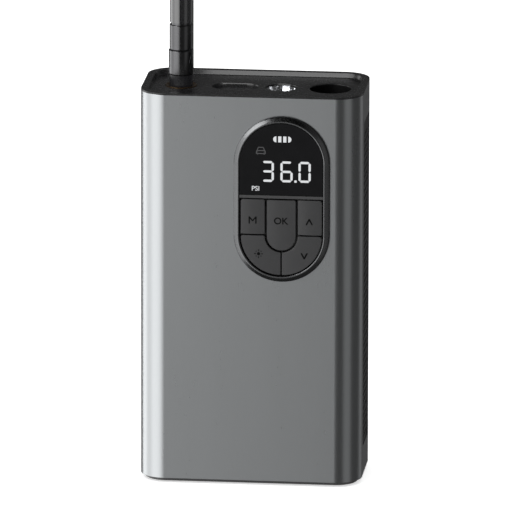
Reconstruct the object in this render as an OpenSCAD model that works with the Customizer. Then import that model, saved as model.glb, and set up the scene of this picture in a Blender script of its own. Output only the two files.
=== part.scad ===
/* [Body] */
// Width of the aluminium sleeve
body_w = 77; // [76:0.5:80]
// Depth of the aluminium sleeve, front to back
body_d = 39.4; // [39:0.2:42]
// Height of the aluminium sleeve
sleeve_h = 136.4; // [134:0.2:142]
// Wall thickness of the sleeve
wall = 1.5; // [1.2:0.1:1.8]
// Outer radius of the sleeve's four upright corners
corner_r = 9.1; // [8:0.1:11]

/* [Caps] */
// How far the base cap stands out below the sleeve
base_drop = 1.6; // [1:0.1:2.5]
// How far the rim of the top cap stands above the sleeve
rim_h = 0.6; // [0.4:0.1:1]
// Width of the rim around the sunken deck
rim_w = 2.6; // [2:0.1:4]
// Depth of the deck below the rim
deck_drop = 1.5; // [1:0.1:2]

/* [Control panel] */
// Overall width of the oval panel bezel
panel_w = 33.2; // [32:0.2:35]
// Overall height of the oval panel bezel
panel_h = 58.4; // [56:0.2:60]
// How far the bezel stands out of the front wall
panel_raise = 2.2; // [1.6:0.1:3]
// Width of the sloping bezel band
bezel_w = 2.1; // [1.8:0.1:2.6]
// Travel of a push button
button_travel = 0.6; // [0.3:0.1:0.8]

/* [Ports on the deck] */
// Diameter of the blind hole that stores the chuck
storage_d = 14.2; // [13.8:0.1:14.6]
// Diameter of the torch opening
torch_d = 10.6; // [10:0.1:11]
// Length of the oval pocket around the charging socket
usb_pocket_w = 15.8; // [14:0.2:16]
// Width of the oval pocket around the charging socket
usb_pocket_d = 8.8; // [7:0.2:9]

/* [Hose] */
// Outer diameter of the air hose
hose_d = 7.8; // [7:0.1:8]
// Diameter of the grip collar at the foot of the hose
collar_d = 8.64; // [8.2:0.02:9]
// Outer diameter of the screw-on chuck nut
nut_d = 13.4; // [12.6:0.1:13.6]

/* [Compressor] */
// Crank radius, half of the piston stroke
crank_r = 8; // [7:0.5:8]
// Bore of the cylinder
bore_d = 16.1; // [15:0.1:16.1]
// Teeth on the motor pinion
pinion_teeth = 10; // [10:1:10]
// Teeth on the crank gear
gear_teeth = 42; // [42:1:42]
// Gear module
gear_module = 0.8; // [0.8:0.1:0.8]
// Diameter of one battery cell
cell_d = 18; // [17.6:0.1:18]

/* [Hidden] */
$fn = 64;

black = "#26272a";
alloy = "#808286";
dark_metal = "#4b4d50";
steel = "#b9bcc0";
brass = "#a07a3c";
board_green = "#1f5a3c";

// Heights of the shell
mid_y = panel_raise / 2;            // the sleeve's middle; the bezel makes the front deeper
front_y = mid_y - body_d / 2;
sleeve_z0 = base_drop;
sleeve_z1 = sleeve_z0 + sleeve_h;
rim_z = sleeve_z1 + rim_h;
deck_z = rim_z - deck_drop;
inner_w = body_w - 2 * wall;
inner_d = body_d - 2 * wall;
inner_r = corner_r - wall;
slip = 0.1;                         // gap all round between a cap's plug and the sleeve
deck_plate = 3;

// Side grilles
grille_w = 18;
grille_z0 = 12;
grille_z1 = 127.4;
grille_hole = 1.5;
grille_pitch = 2.5;

// Control panel
panel_x = 11.2;
panel_z = 102.4;
panel_r = panel_w / 2;
panel_half = (panel_h - panel_w) / 2; // half of the oval's straight sides
bezel_r = panel_r - bezel_w;          // radius of the opening in the bezel
skirt_r = bezel_r + 0.6;
divider_z0 = 102.9;
divider_z1 = 103.95;
panel_face_y = front_y - panel_raise;
button_gap = 0.35;
button_r = bezel_r - button_gap;
button_face_y = panel_face_y + 0.35;
button_t = 2;
plate_y = front_y + 1.2;              // front of the plate behind the buttons
board_y = front_y + 5.9;              // front of the control board
ok_r = 5.2;
ok_z = 89.5;
key_split_z = 89.9;
key_line = 0.3;
side_key_gap = 0.45;

// Deck ports, left to right
outlet_x = -25.8;
usb_x = -7;
torch_x = 8.9;
storage_x = 26;
storage_floor_z = 96.5;
collar_z0 = deck_z + 4;
ferrule_z0 = collar_z0 + 8.9;
groove_z = ferrule_z0 + 8.8;
hose_z0 = groove_z + 0.8;
air_r = 1.6;

// Route of the hose: up out of the ferrule, over in one arch, down behind, and a turn onto the floor
hose_route = [[-25.8, 1.1, 159.6], [-25.8, 1.1, 170], [-25.8, 1.1, 180], [-25.8, 1.1, 190],
    [-26.3, 5.5, 206.5], [-27.5, 17.5, 218.6], [-29.2, 34, 223], [-30.9, 50.5, 218.6],
    [-32.1, 62.5, 206.5], [-32.6, 66.9, 190], [-32.6, 66.9, 170], [-32.6, 66.9, 150],
    [-32.6, 66.9, 130], [-32.6, 66.9, 110], [-32.6, 66.9, 90], [-32.6, 66.9, 70],
    [-32.6, 66.9, 55], [-32.6, 66.9, 40.8], [-30, 66.9, 27.8], [-22.6, 66.9, 16.8],
    [-11.6, 66.9, 9.4], [1.4, 66.9, 6.8], [4, 66.9, 6.8]];
hose_sides = 12;
hose_side = [1, 1, 0];                // the arch runs back and the foot runs right, never along this
chuck_x = 4;
chuck_y = 66.9;
chuck_z = 6.8;
valve_r = 3.9;                        // clears an 8V1 valve thread

// Compressor, seen from the side: everything turns about X
motor_z = 21;
motor_r = 12.2;
gear_z = motor_z + gear_module * (gear_teeth + pinion_teeth) / 2;
gear_x0 = -21.6;
gear_t = 3.4;
pin_r = 1.5;
frame_x0 = -17.6;
frame_t = 2;
motor_x0 = frame_x0 + frame_t;
can_len = 27;
washer_x0 = -22.5;
washer_t = 0.6;
yoke_t = 4.4;
yoke_z = gear_z + crank_r;
run = 0.05;                           // radial clearance of a running fit
barrel_z0 = 61.5;
barrel_z1 = 86.5;
piston_z = 78;
piston_h = 7;
head_h = 8;
head_screw_x = 7.2;
head_screw_y = 10.6;
plate_half = 12.7;                    // half depth of the gear frame and of the cylinder's flanges
armature_r = 7;
cell_x = 27.2;
cell_len = 65;
cell_z0 = 8.5;
post_x = [-27, 10];                   // posts and screws that hold the main board
board_screw_z = [104, 122];

// Rounded rectangle seen from above, centred
module slab_outline(w, d, r) {
    square([w - 2 * r, d], center = true);
    square([w, d - 2 * r], center = true);
    for (sx = [-1, 1], sy = [-1, 1]) translate([sx * (w / 2 - r), sy * (d / 2 - r)]) circle(r);
}

module slab(w, d, r, z0, z1) {
    translate([0, mid_y, z0]) linear_extrude(z1 - z0) slab_outline(w, d, r);
}

// Upright oval seen from the front, centred on the panel: x and z become x and y
module oval_outline(r, half) {
    square([2 * r, 2 * half], center = true);
    for (s = [-1, 1]) translate([0, s * half]) circle(r);
}

// Carries a front-view outline (x, z) from y0 back to y1
module front_prism(y0, y1) {
    translate([0, y1, 0]) rotate([90, 0, 0]) linear_extrude(y1 - y0) children();
}

module oval_prism(r, y0, y1) {
    front_prism(y0, y1) translate([panel_x, panel_z]) oval_outline(r, panel_half);
}

// Slot seen from above with round ends along X
module slot_outline(w, d) {
    square([w - d, d], center = true);
    for (s = [-1, 1]) translate([s * (w - d) / 2, 0]) circle(d / 2);
}

module upright(x, y, z0, z1, r) {
    translate([x, y, z0]) cylinder(h = z1 - z0, r = r);
}

module tube(x, y, z0, z1, r_out, r_in) {
    translate([x, y, z0]) linear_extrude(z1 - z0) difference() {
        circle(r_out);
        circle(r_in);
    }
}

// Cylinder along X from x0 to x1
module along_x(x0, x1, y, z, r) {
    translate([x0, y, z]) rotate([0, 90, 0]) cylinder(h = x1 - x0, r = r);
}

// Carries a side-view outline (y, z) from x0 to x1
module side_prism(x0, x1) {
    translate([x0, 0, 0]) rotate([90, 0, 90]) linear_extrude(x1 - x0) children();
}

module side_slot_outline(w, z0, z1, r) {
    translate([mid_y, (z0 + z1) / 2]) slab_outline(w, z1 - z0, r);
}

// ---- shell ----

module housing() color(alloy) difference() {
    slab(body_w, body_d, corner_r, sleeve_z0, sleeve_z1);
    slab(inner_w, inner_d, inner_r, sleeve_z0 - 1, sleeve_z1 + 1);
    oval_prism(skirt_r + slip, front_y - 1, front_y + 3);
    side_prism(-body_w / 2 - 1, -inner_w / 2 + 1) side_slot_outline(grille_w, grille_z0, grille_z1, 2);
    side_prism(inner_w / 2 - 1, body_w / 2 + 1) side_slot_outline(grille_w, grille_z0, grille_z1, 2);
}

module usb_pocket_cut() {
    translate([usb_x, mid_y, deck_z - 1.6]) linear_extrude(5) slot_outline(usb_pocket_w, usb_pocket_d);
    translate([usb_x, mid_y, deck_z - 9]) linear_extrude(9) slot_outline(9.1, 3.3);
}

module top_cap() color(black) difference() {
    union() {
        slab(body_w, body_d, corner_r, sleeve_z1, rim_z);
        slab(inner_w - 2 * slip, inner_d - 2 * slip, inner_r - slip, deck_z - deck_plate, sleeve_z1);
        // posts behind the main board
        for (x = post_x) translate([x - 2, mid_y + 14.5, 98]) cube([4, 3.5, deck_z - deck_plate - 97.5]);
    }
    for (x = post_x, z = board_screw_z)
        translate([x, mid_y + 14, z]) rotate([-90, 0, 0]) cylinder(h = 3.2, r = 0.9);
    slab(body_w - 2 * rim_w, body_d - 2 * rim_w, corner_r - rim_w, deck_z, rim_z + 1);
    upright(outlet_x, mid_y, deck_z - 0.6, deck_z + 1, 5.55);
    upright(outlet_x, mid_y, deck_z - 9, deck_z, 4.9);
    usb_pocket_cut();
    upright(torch_x, mid_y, deck_z - 9, deck_z + 1, torch_d / 2);
    upright(storage_x, mid_y, deck_z - 9, deck_z + 1, storage_d / 2 + 0.9);
}

base_screw_x = 28;
base_screw_y = 8.5;

module base_cap() color(black) difference() {
    union() {
        difference() {
            slab(inner_w - 2 * slip, inner_d - 2 * slip, inner_r - slip, 0.4, 7);
            slab(inner_w - 5, inner_d - 5, inner_r - 2, 2.8, 8);
        }
        for (sx = [-1, 1], sy = [-1, 1])
            upright(sx * base_screw_x, mid_y + sy * base_screw_y, 2, 4.9, 3);
    }
    slab(62.2, 26.2, 5.1, -1, 1);
    for (sx = [-1, 1], sy = [-1, 1]) translate([sx * base_screw_x, mid_y + sy * base_screw_y, 0]) {
        translate([0, 0, -1]) cylinder(h = 7, r = 1.1);
        translate([0, 0, -1]) cylinder(h = 3.2, r = 2.1);
    }
}

module base_screws() color(steel)
    for (sx = [-1, 1], sy = [-1, 1]) translate([sx * base_screw_x, mid_y + sy * base_screw_y, 0])
        difference() {
            union() {
                translate([0, 0, 1.1]) cylinder(h = 1.1, r = 1.9);
                translate([0, 0, 2.2]) cylinder(h = 5.3, r = 0.95);
            }
            translate([0, 0, 0.6]) cylinder(h = 1.1, r = 0.8, $fn = 6);
        }

module foot_pad() color("#1b1c1e") slab(62, 26, 5, 0, 1);

module side_grille(side) {
    x_out = side * (body_w / 2 - 0.25);
    x_mid = side * (inner_w / 2 - 0.05);
    x_in = side * (inner_w / 2 - 0.6);
    rows = floor((grille_z1 - grille_z0 - 3) / grille_pitch);
    side_prism(min(x_out, x_mid), max(x_out, x_mid)) difference() {
        side_slot_outline(grille_w - 0.2, grille_z0 + 0.1, grille_z1 - 0.1, 1.9);
        grille_holes(rows);
    }
    side_prism(min(x_mid, x_in), max(x_mid, x_in)) difference() {
        side_slot_outline(grille_w + 1.6, grille_z0 - 1, grille_z1 + 1, 1);
        side_slot_outline(grille_w - 2.4, grille_z0 + 1.4, grille_z1 - 1.4, 1);
    }
}

// Round holes in staggered rows
module grille_holes(rows)
    for (i = [0:rows - 1], j = [0:5 - i % 2])
        translate([mid_y + (j - (5 - i % 2) / 2) * grille_pitch, grille_z0 + 2.6 + i * grille_pitch])
            circle(grille_hole / 2, $fn = 16);

module side_grille_left() color("#303235") side_grille(-1);
module side_grille_right() color("#303235") side_grille(1);

// ---- control panel ----

// Section of the bezel: out along the front wall, up the slope, over the crest and down inside
module bezel_section() polygon([[bezel_r, -3.2], [skirt_r, -3.2], [skirt_r, 0], [panel_r, 0],
    [panel_r, 0.25], [bezel_r + 0.45, panel_raise], [bezel_r + 0.2, panel_raise],
    [bezel_r, panel_raise - 0.2]]);

module panel_bezel() color(dark_metal)
    translate([panel_x, front_y, panel_z]) rotate([90, 0, 0]) {
        translate([0, panel_half, 0]) rotate_extrude(angle = 180) bezel_section();
        rotate([0, 0, 180]) translate([0, panel_half, 0]) rotate_extrude(angle = 180) bezel_section();
        for (a = [0, 180]) rotate([0, 0, a]) translate([0, panel_half, 0]) rotate([90, 0, 0])
            linear_extrude(2 * panel_half) bezel_section();
    }

switch_spots = [[1.3, 96.2], [panel_x, 93.2], [21.1, 96.2], [3.6, 82.6], [18.8, 82.6]];

module panel_frame() color(black) {
    difference() {
        oval_prism(bezel_r - 0.05, plate_y, front_y + 2.6);
        for (p = switch_spots) front_prism(plate_y - 1, front_y + 3.6) translate(p) circle(1.7);
        front_prism(plate_y - 1, front_y + 3.6) translate([panel_x - 10.4, 105.2]) square([20.8, 16.6]);
    }
    // divider between the display and the keys, with the ledge that carries the window
    front_prism(panel_face_y + 0.25, plate_y) intersection() {
        translate([panel_x, panel_z]) oval_outline(bezel_r - 0.05, panel_half);
        translate([panel_x - 15, divider_z0]) square([30, divider_z1 - divider_z0]);
    }
    front_prism(panel_face_y + 1.7, plate_y) difference() {
        intersection() {
            translate([panel_x, panel_z]) oval_outline(bezel_r - 0.05, panel_half);
            translate([panel_x - 15, divider_z1]) square([30, 30]);
        }
        intersection() {
            translate([panel_x, panel_z]) oval_outline(bezel_r - 1.6, panel_half);
            translate([panel_x - 15, divider_z1 + 1.2]) square([30, 30]);
        }
    }
}

module display_window() color("#0d0e10") front_prism(panel_face_y + 0.45, panel_face_y + 1.7)
    intersection() {
        translate([panel_x, panel_z]) oval_outline(bezel_r - 0.1, panel_half);
        translate([panel_x - 15, divider_z1 + 0.05]) square([30, 30]);
    }

module display_module() color("#e4e4de") front_prism(panel_face_y + 2, board_y)
    translate([panel_x - 10, 105.6]) square([20, 15.8]);

module control_board() color(board_green) difference() {
    front_prism(board_y, board_y + 1.2) translate([panel_x - 15, 77.6]) square([30, 53.4]);
    for (z = [80, 128.5], sx = [-1, 1]) front_prism(board_y - 1, board_y + 3)
        translate([panel_x + 13 * sx, z]) circle(1.1);
}

module tact_switches() color(steel) for (p = switch_spots) {
    front_prism(board_y - 1.6, board_y) translate(p) square([4.5, 4.5], center = true);
    front_prism(board_y - 2.1, board_y - 1.6) translate(p) circle(1);
}

// A key: its face outline carried back, and the stem that reaches the switch behind it
module key(i) color("#47484b") {
    front_prism(button_face_y, button_face_y + button_t) children();
    front_prism(button_face_y + button_t, board_y - 2.1 - button_travel - 0.1)
        translate(switch_spots[i]) circle(1.35);
}

module key_field() intersection() {
    translate([panel_x, panel_z]) oval_outline(button_r, panel_half);
    translate([panel_x - 20, 70]) square([40, divider_z0 - button_gap - 70]);
}

// What the OK key and the gap around it take out of the field
module ok_outline(r) {
    translate([panel_x, ok_z]) circle(r);
    translate([panel_x - r, ok_z]) square([2 * r, 20]);
}

module side_keys(s) difference() {
    intersection() {
        key_field();
        translate([s < 0 ? panel_x - 20 : panel_x, 60]) square([20, 60]);
    }
    ok_outline(ok_r + side_key_gap);
}

module upper_key(s) intersection() {
    side_keys(s);
    translate([panel_x - 20, key_split_z + key_line / 2]) square([40, 20]);
}

module lower_key(s) intersection() {
    side_keys(s);
    translate([s < 0 ? panel_x - 20 : panel_x + key_line / 2, 60])
        square([20 - key_line / 2, key_split_z - key_line / 2 - 60]);
}

module button_mode() key(0) upper_key(-1);
module button_ok() key(1) intersection() {
    key_field();
    ok_outline(ok_r);
}
module button_up() key(2) upper_key(1);
module button_light() key(3) lower_key(-1);
module button_down() key(4) lower_key(1);

// ---- deck ports ----

module torch_reflector() color("#e8e8ea") translate([torch_x, mid_y, 0]) rotate_extrude()
    polygon([[2, 128.6], [torch_d / 2 - 0.1, 128.6], [torch_d / 2 - 0.1, deck_z - 1],
        [4.6, deck_z - 1], [4.1, deck_z - 3], [3.2, deck_z - 5.4], [2, deck_z - 7]]);

module torch_lens() color([0.9, 0.93, 0.96, 0.4])
    upright(torch_x, mid_y, deck_z - 1, deck_z - 0.3, torch_d / 2 - 0.1);

module torch_led() color("#f0e6b8") {
    upright(torch_x, mid_y, 127.2, 128.6, torch_d / 2 - 0.1);
    upright(torch_x, mid_y, 128.6, 131.2, 1.7);
}

module usb_shell() color(steel) {
    translate([usb_x, mid_y, deck_z - 9]) linear_extrude(7.2) difference() {
        slot_outline(8.94, 3.16);
        slot_outline(8.34, 2.56);
    }
    translate([usb_x, mid_y, deck_z - 9.6]) linear_extrude(0.6) slot_outline(8.94, 3.16);
}

module usb_tongue() color("#1a1a1c")
    translate([usb_x - 3.35, mid_y - 0.35, deck_z - 9]) cube([6.7, 0.7, 6.4]);

module outlet_ring() color(brass) tube(outlet_x, mid_y, deck_z - 0.6, deck_z + 0.25, 5.5, 4.15);

module outlet_socket() color(brass) difference() {
    upright(outlet_x, mid_y, 121, deck_z - 0.6, 4.85);
    upright(outlet_x, mid_y, 126, deck_z + 1, 3.05);
    upright(outlet_x, mid_y, 120, 127, 1.5);
}

module outlet_o_ring() color("#151515") translate([outlet_x, mid_y, deck_z - 1.4]) rotate_extrude()
    translate([2.45, 0]) circle(0.55);

module hose_neck() color("#1d1e20") difference() {
    union() {
        upright(outlet_x, mid_y, deck_z - 0.6, collar_z0, 4.03);
        upright(outlet_x, mid_y, deck_z - 8, deck_z - 0.6, 2.95);
    }
    upright(outlet_x, mid_y, deck_z - 9, collar_z0 + 1, air_r);
    translate([outlet_x, mid_y, deck_z - 1.4]) rotate_extrude() translate([2.45, 0]) circle(0.56);
}

// A turned ring with a small chamfer at both ends
module turned(z0, z1, r, c) translate([outlet_x, mid_y, 0]) rotate_extrude()
    polygon([[air_r, z0], [r - c, z0], [r, z0 + c], [r, z1 - c], [r - c, z1], [air_r, z1]]);

module hose_collar() color("#2b2c2f") turned(collar_z0, ferrule_z0, collar_d / 2, 0.4);

module hose_ferrule() color("#2b2c2f") {
    turned(ferrule_z0, groove_z, 4.02, 0.2);
    tube(outlet_x, mid_y, groove_z, hose_z0, 3.5, air_r);
}

// ---- hose and chuck ----

function unit(v) = v / norm(v);
function tangent(p, i) = unit(p[min(i + 1, len(p) - 1)] - p[max(i - 1, 0)]);
// Ring of n points round the route's point i; side is a direction that the route never takes
function ring(p, i, r, n, side) = let (t = tangent(p, i), u = unit(cross(t, side)), v = cross(u, t))
    [for (k = [0:n - 1]) p[i] + r * (cos(360 * k / n) * u + sin(360 * k / n) * v)];

module sweep(p, r, n, side) {
    rings = [for (i = [0:len(p) - 1]) each ring(p, i, r, n, side)];
    last = (len(p) - 1) * n;
    polyhedron(rings, concat(
        [[for (k = [0:n - 1]) k]],
        [for (i = [0:len(p) - 2], k = [0:n - 1])
            [i * n + k, (i + 1) * n + k, (i + 1) * n + (k + 1) % n, i * n + (k + 1) % n]],
        [[for (k = [n - 1:-1:0]) last + k]]));
}

module air_hose() color("#141517") sweep(hose_route, hose_d / 2, hose_sides, hose_side);

module chuck_body() color("#2b2c2f") translate([chuck_x, chuck_y, chuck_z]) rotate([0, 90, 0])
    rotate_extrude() polygon([[air_r, 0], [4.4, 0], [4.8, 0.4], [4.8, 9.4], [4.3, 9.9],
        [4.3, 13], [5.1, 13], [5.1, 14.2], [air_r, 14.2]]);

nut_x0 = chuck_x + 10.3;
nut_x1 = chuck_x + 25.3;

// Knurled nut, free to spin on the chuck body's groove, with the valve bore at its mouth
module chuck_nut() color(dark_metal) difference() {
    union() {
        along_x(nut_x0, nut_x1 - 2, chuck_y, chuck_z, nut_d / 2 - 0.3);
        along_x(nut_x1 - 2, nut_x1, chuck_y, chuck_z, nut_d / 2 - 0.8);
        for (a = [0:15:345]) translate([nut_x0 + 1.5, chuck_y, chuck_z]) rotate([a, 0, 0])
            translate([0, -0.55, nut_d / 2 - 1]) cube([10.5, 1.1, 1]);
    }
    along_x(nut_x0 - 1, nut_x0 + 3, chuck_y, chuck_z, 4.35);
    along_x(nut_x0 + 2.4, nut_x0 + 6.5, chuck_y, chuck_z, 5.4);
    along_x(nut_x0 + 6.4, nut_x1 + 1, chuck_y, chuck_z, valve_r);
}

module chuck_seal() color("#3a3a3c") translate([chuck_x + 14.2, chuck_y, chuck_z]) rotate([0, 90, 0])
    rotate_extrude() translate([1.9, 0]) square([2.4, 2]);

module chuck_pin() color(brass) {
    along_x(chuck_x + 12, chuck_x + 16.6, chuck_y, chuck_z, 0.8);
    along_x(chuck_x + 11, chuck_x + 12, chuck_y, chuck_z, air_r);
}

module storage_sleeve() color("#1d1e20") difference() {
    upright(storage_x, mid_y, storage_floor_z - 1.5, deck_z, storage_d / 2 + 0.85);
    upright(storage_x, mid_y, storage_floor_z, deck_z + 1, storage_d / 2);
}

// ---- compressor ----

// Spur gear outline with straight-flanked teeth; the first tooth points along +X of the sketch
module gear_outline(teeth, phase) {
    pitch_r = gear_module * teeth / 2;
    step = 360 / teeth;
    polygon([for (i = [0:teeth - 1], c = [[-0.31, -1], [-0.13, 1], [0.13, 1], [0.31, -1]])
        let (a = phase + (i + c[0]) * step, r = pitch_r + gear_module * (c[1] > 0 ? 0.9 : -1.1))
        [r * cos(a), r * sin(a)]]);
}

module gear_frame() color("#5a5c60") difference() {
    union() {
        translate([frame_x0, mid_y - plate_half, 7.5]) cube([frame_t, 2 * plate_half, 76.5]);
        translate([-36, mid_y - plate_half, 80]) cube([motor_x0 + 36, 2 * plate_half, 4]);
        for (sy = [-1, 1]) translate([-32, mid_y + sy * base_screw_y - 3, 4.9]) cube([32 + motor_x0, 6, 2.6]);
    }
    translate([frame_x0 - 1, mid_y - 6.5, barrel_z0 - 0.5]) cube([frame_t + 2, 13, 18]);
    along_x(frame_x0 - 1, motor_x0 + 1, mid_y, motor_z, 3.85);
    along_x(frame_x0 - 1, motor_x0 + 1, mid_y, gear_z, pin_r);
    upright(outlet_x, mid_y, 79, 85, 10.05);
    for (sy = [-1, 1]) {
        upright(-base_screw_x, mid_y + sy * base_screw_y, 4, 9, 0.95);
        for (sx = [-1, 1]) upright(outlet_x + sx * head_screw_x, mid_y + sy * head_screw_y, 79, 85, 0.95);
    }
}

module cylinder_barrel() color("#9ea2a6") difference() {
    union() {
        upright(outlet_x, mid_y, barrel_z0, barrel_z1, 10);
        translate([outlet_x - 9.5, mid_y - plate_half, 84]) cube([19, 2 * plate_half, barrel_z1 - 84]);
    }
    upright(outlet_x, mid_y, barrel_z0 - 1, barrel_z1 + 1, bore_d / 2);
    for (sx = [-1, 1], sy = [-1, 1])
        upright(outlet_x + sx * head_screw_x, mid_y + sy * head_screw_y, 83, 88, 1.05);
}

module cylinder_head() color("#8b8f94") difference() {
    union() {
        translate([outlet_x - 9.5, mid_y - plate_half, barrel_z1]) cube([19, 2 * plate_half, 4]);
        upright(outlet_x, mid_y, barrel_z1 + 4, barrel_z1 + head_h, 7);
        upright(outlet_x, mid_y, barrel_z1 + head_h, barrel_z1 + head_h + 2.5, 3.6);
    }
    upright(outlet_x, mid_y, barrel_z1 + 2, barrel_z1 + head_h + 3, 2.5);
    upright(outlet_x, mid_y, barrel_z1 - 1, barrel_z1 + 3, 1);
    for (sx = [-1, 1], sy = [-1, 1])
        upright(outlet_x + sx * head_screw_x, mid_y + sy * head_screw_y, barrel_z1 - 1, barrel_z1 + 5, 1.05);
}

module head_screws() color(steel)
    for (sx = [-1, 1], sy = [-1, 1])
        translate([outlet_x + sx * head_screw_x, mid_y + sy * head_screw_y, 0]) difference() {
        union() {
            translate([0, 0, 80.5]) cylinder(h = barrel_z1 + 4 - 80.5, r = 0.95);
            translate([0, 0, barrel_z1 + 4]) cylinder(h = 1.3, r = 1.9);
        }
        translate([0, 0, barrel_z1 + 4.5]) cylinder(h = 1.3, r = 0.8, $fn = 6);
    }

module delivery_tube() color("#c9c9c4") difference() {
    union() {
        upright(outlet_x, mid_y, barrel_z1 + 4, 121, 2.5);
        translate([outlet_x, mid_y, 110]) rotate([-90, 0, 0]) cylinder(h = 7, r = 1.8);
    }
    upright(outlet_x, mid_y, barrel_z1 + 3, 122, 1.5);
    translate([outlet_x, mid_y, 110]) rotate([-90, 0, 0]) cylinder(h = 8, r = 0.9);
}

module pressure_sensor() color("#2e3a44") {
    translate([outlet_x - 4, mid_y + 8.5, 106]) cube([8, 4.4, 8]);
    translate([outlet_x, mid_y + 7, 110]) rotate([-90, 0, 0]) cylinder(h = 1.5, r = 1.8);
}

module motor_can() color("#a9acb0") difference() {
    union() {
        along_x(motor_x0, motor_x0 + can_len, mid_y, motor_z, motor_r);
        along_x(frame_x0, motor_x0, mid_y, motor_z, 3.8);
    }
    along_x(motor_x0 + 1.5, motor_x0 + can_len + 1, mid_y, motor_z, motor_r - 1);
    along_x(frame_x0 - 1, motor_x0 + 2, mid_y, motor_z, 1.15 + run);
}

module motor_end_cap() color("#202124") difference() {
    union() {
        along_x(motor_x0 + can_len, motor_x0 + can_len + 2.6, mid_y, motor_z, motor_r);
        along_x(motor_x0 + can_len - 1.5, motor_x0 + can_len, mid_y, motor_z, motor_r - 1.05);
    }
    along_x(motor_x0 + can_len - 2, motor_x0 + can_len + 4, mid_y, motor_z, 1.15 + run);
}

module motor_shaft() color(steel) {
    along_x(gear_x0 - 0.3, 17.3, mid_y, motor_z, 1.15);
    along_x(motor_x0 + 5, motor_x0 + can_len - 6, mid_y, motor_z, armature_r);
}

module motor_pinion() color("#c8a24a") difference() {
    side_prism(gear_x0, gear_x0 + gear_t) translate([mid_y, motor_z])
        gear_outline(pinion_teeth, 90 + 180 / pinion_teeth);
    along_x(gear_x0 - 1, gear_x0 + gear_t + 1, mid_y, motor_z, 1.15);
}

module cooling_fan() color("#2f3134") {
    side_prism(14.9, 17.5) translate([mid_y, motor_z]) difference() {
        circle(3.5);
        circle(1.15);
    }
    for (i = [0:6]) translate([14.9, mid_y, motor_z]) rotate([i * 360 / 7, 0, 0])
        translate([0, -0.5, 3.2]) cube([2.6, 1, 7.6]);
}

module crank_gear() color("#8e9297") difference() {
    side_prism(gear_x0, gear_x0 + gear_t) translate([mid_y, gear_z]) gear_outline(gear_teeth, -90);
    along_x(gear_x0 - 1, gear_x0 + gear_t + 1, mid_y, gear_z, 3);
    along_x(gear_x0 - 1, gear_x0 + gear_t + 1, mid_y, gear_z + crank_r, pin_r);
}

module crank_pin() color(steel) along_x(-28.4, gear_x0 + gear_t, mid_y, gear_z + crank_r, pin_r);

module gear_axle() color(steel) along_x(washer_x0 + 0.1, motor_x0, mid_y, gear_z, pin_r);

module axle_bush() color(brass)
    side_prism(gear_x0, gear_x0 + gear_t) translate([mid_y, gear_z]) difference() {
        circle(3);
        circle(pin_r + run);
    }

module crank_washer() color("#cfd2d5") side_prism(washer_x0, washer_x0 + washer_t)
    translate([mid_y, gear_z + crank_r / 2]) difference() {
        circle(crank_r / 2 + pin_r + 2.6);
        circle(crank_r / 2 + pin_r + 0.3);
    }

yoke_x0 = outlet_x - yoke_t / 2;

module yoke() color("#d8d6cf") {
    side_prism(yoke_x0, yoke_x0 + yoke_t) translate([mid_y, yoke_z]) difference() {
        slab_outline(26, 9, 3);
        slot_outline(2 * crank_r + 2 * pin_r + 1.4, 2 * (pin_r + run));
    }
    upright(outlet_x, mid_y, yoke_z + 4.4, piston_z, 2);
}

module piston() color("#3a3d42") difference() {
    upright(outlet_x, mid_y, piston_z, piston_z + piston_h, bore_d / 2 - 0.1);
    tube(outlet_x, mid_y, piston_z + 4, piston_z + 5.6, 9, bore_d / 2 - 1.1);
}

module piston_ring() color("#e6e3da")
    tube(outlet_x, mid_y, piston_z + 4, piston_z + 5.6, bore_d / 2 - run, bore_d / 2 - 1.1);

// ---- battery and boards ----

module battery_cells() color("#3c7fb1") for (sy = [-1, 1])
    upright(cell_x, mid_y + sy * (cell_d / 2 + 0.05), cell_z0, cell_z0 + cell_len, cell_d / 2);

module battery_holder() color("#dcdad2") difference() {
    union() {
        for (z = [[7.1, 8.2], [cell_z0 + cell_len + 0.3, cell_z0 + cell_len + 2.8]])
            translate([18.4, mid_y - 15, z[0]]) cube([17, 30, z[1] - z[0]]);
        for (x = [18.5, 33.2]) translate([x, mid_y - 2, 8.1]) cube([2.6, 4, cell_len + 0.8]);
        for (sy = [-1, 1]) upright(base_screw_x, mid_y + sy * base_screw_y, 4.9, 7.4, 3);
    }
    for (sy = [-1, 1]) upright(base_screw_x, mid_y + sy * base_screw_y, 4, 8.1, 0.95);
}

module battery_strips() color(steel) for (z = [cell_z0 - 0.3, cell_z0 + cell_len])
    translate([cell_x - 3.5, mid_y - 14, z]) cube([7, 28, 0.3]);

module main_board() color(board_green) difference() {
    front_prism(mid_y + 12.9, mid_y + 14.5) translate([-33.5, 84]) square([51, 46]);
    for (x = post_x, z = board_screw_z) front_prism(mid_y + 12, mid_y + 16) translate([x, z]) circle(1.1);
}

module board_screws() color(steel) for (x = post_x, z = board_screw_z)
    translate([x, 0, z]) rotate([-90, 0, 0]) {
        translate([0, 0, mid_y + 11.8]) cylinder(h = 1.1, r = 1.9);
        translate([0, 0, mid_y + 12.9]) cylinder(h = 4, r = 0.9);
    }

// One lead: straight runs of round wire with a crimped ball at each turn
module lead(p) {
    for (i = [0:len(p) - 2]) let (d = p[i + 1] - p[i]) translate(p[i])
        rotate([0, acos(d[2] / norm(d)), atan2(d[1], d[0])]) cylinder(h = norm(d), r = 0.6);
    for (i = [1:len(p) - 2]) translate(p[i]) sphere(0.85);
}

module wiring() color("#a02c28") {
    for (s = [-1, 1]) lead([[12.6, mid_y + 6 * s, motor_z + 11], [12.6, mid_y + 6 * s, 60],
        [10 + 3 * s, mid_y + 10, 80], [10 + 3 * s, mid_y + 12.2, 90]]);
    for (s = [-1, 1]) lead([[24, mid_y + 8 + 3 * s, 77.5], [18, mid_y + 7 + 2 * s, 84],
        [15, mid_y + 12.2, 92 + 4 * s]]);
}

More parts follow.
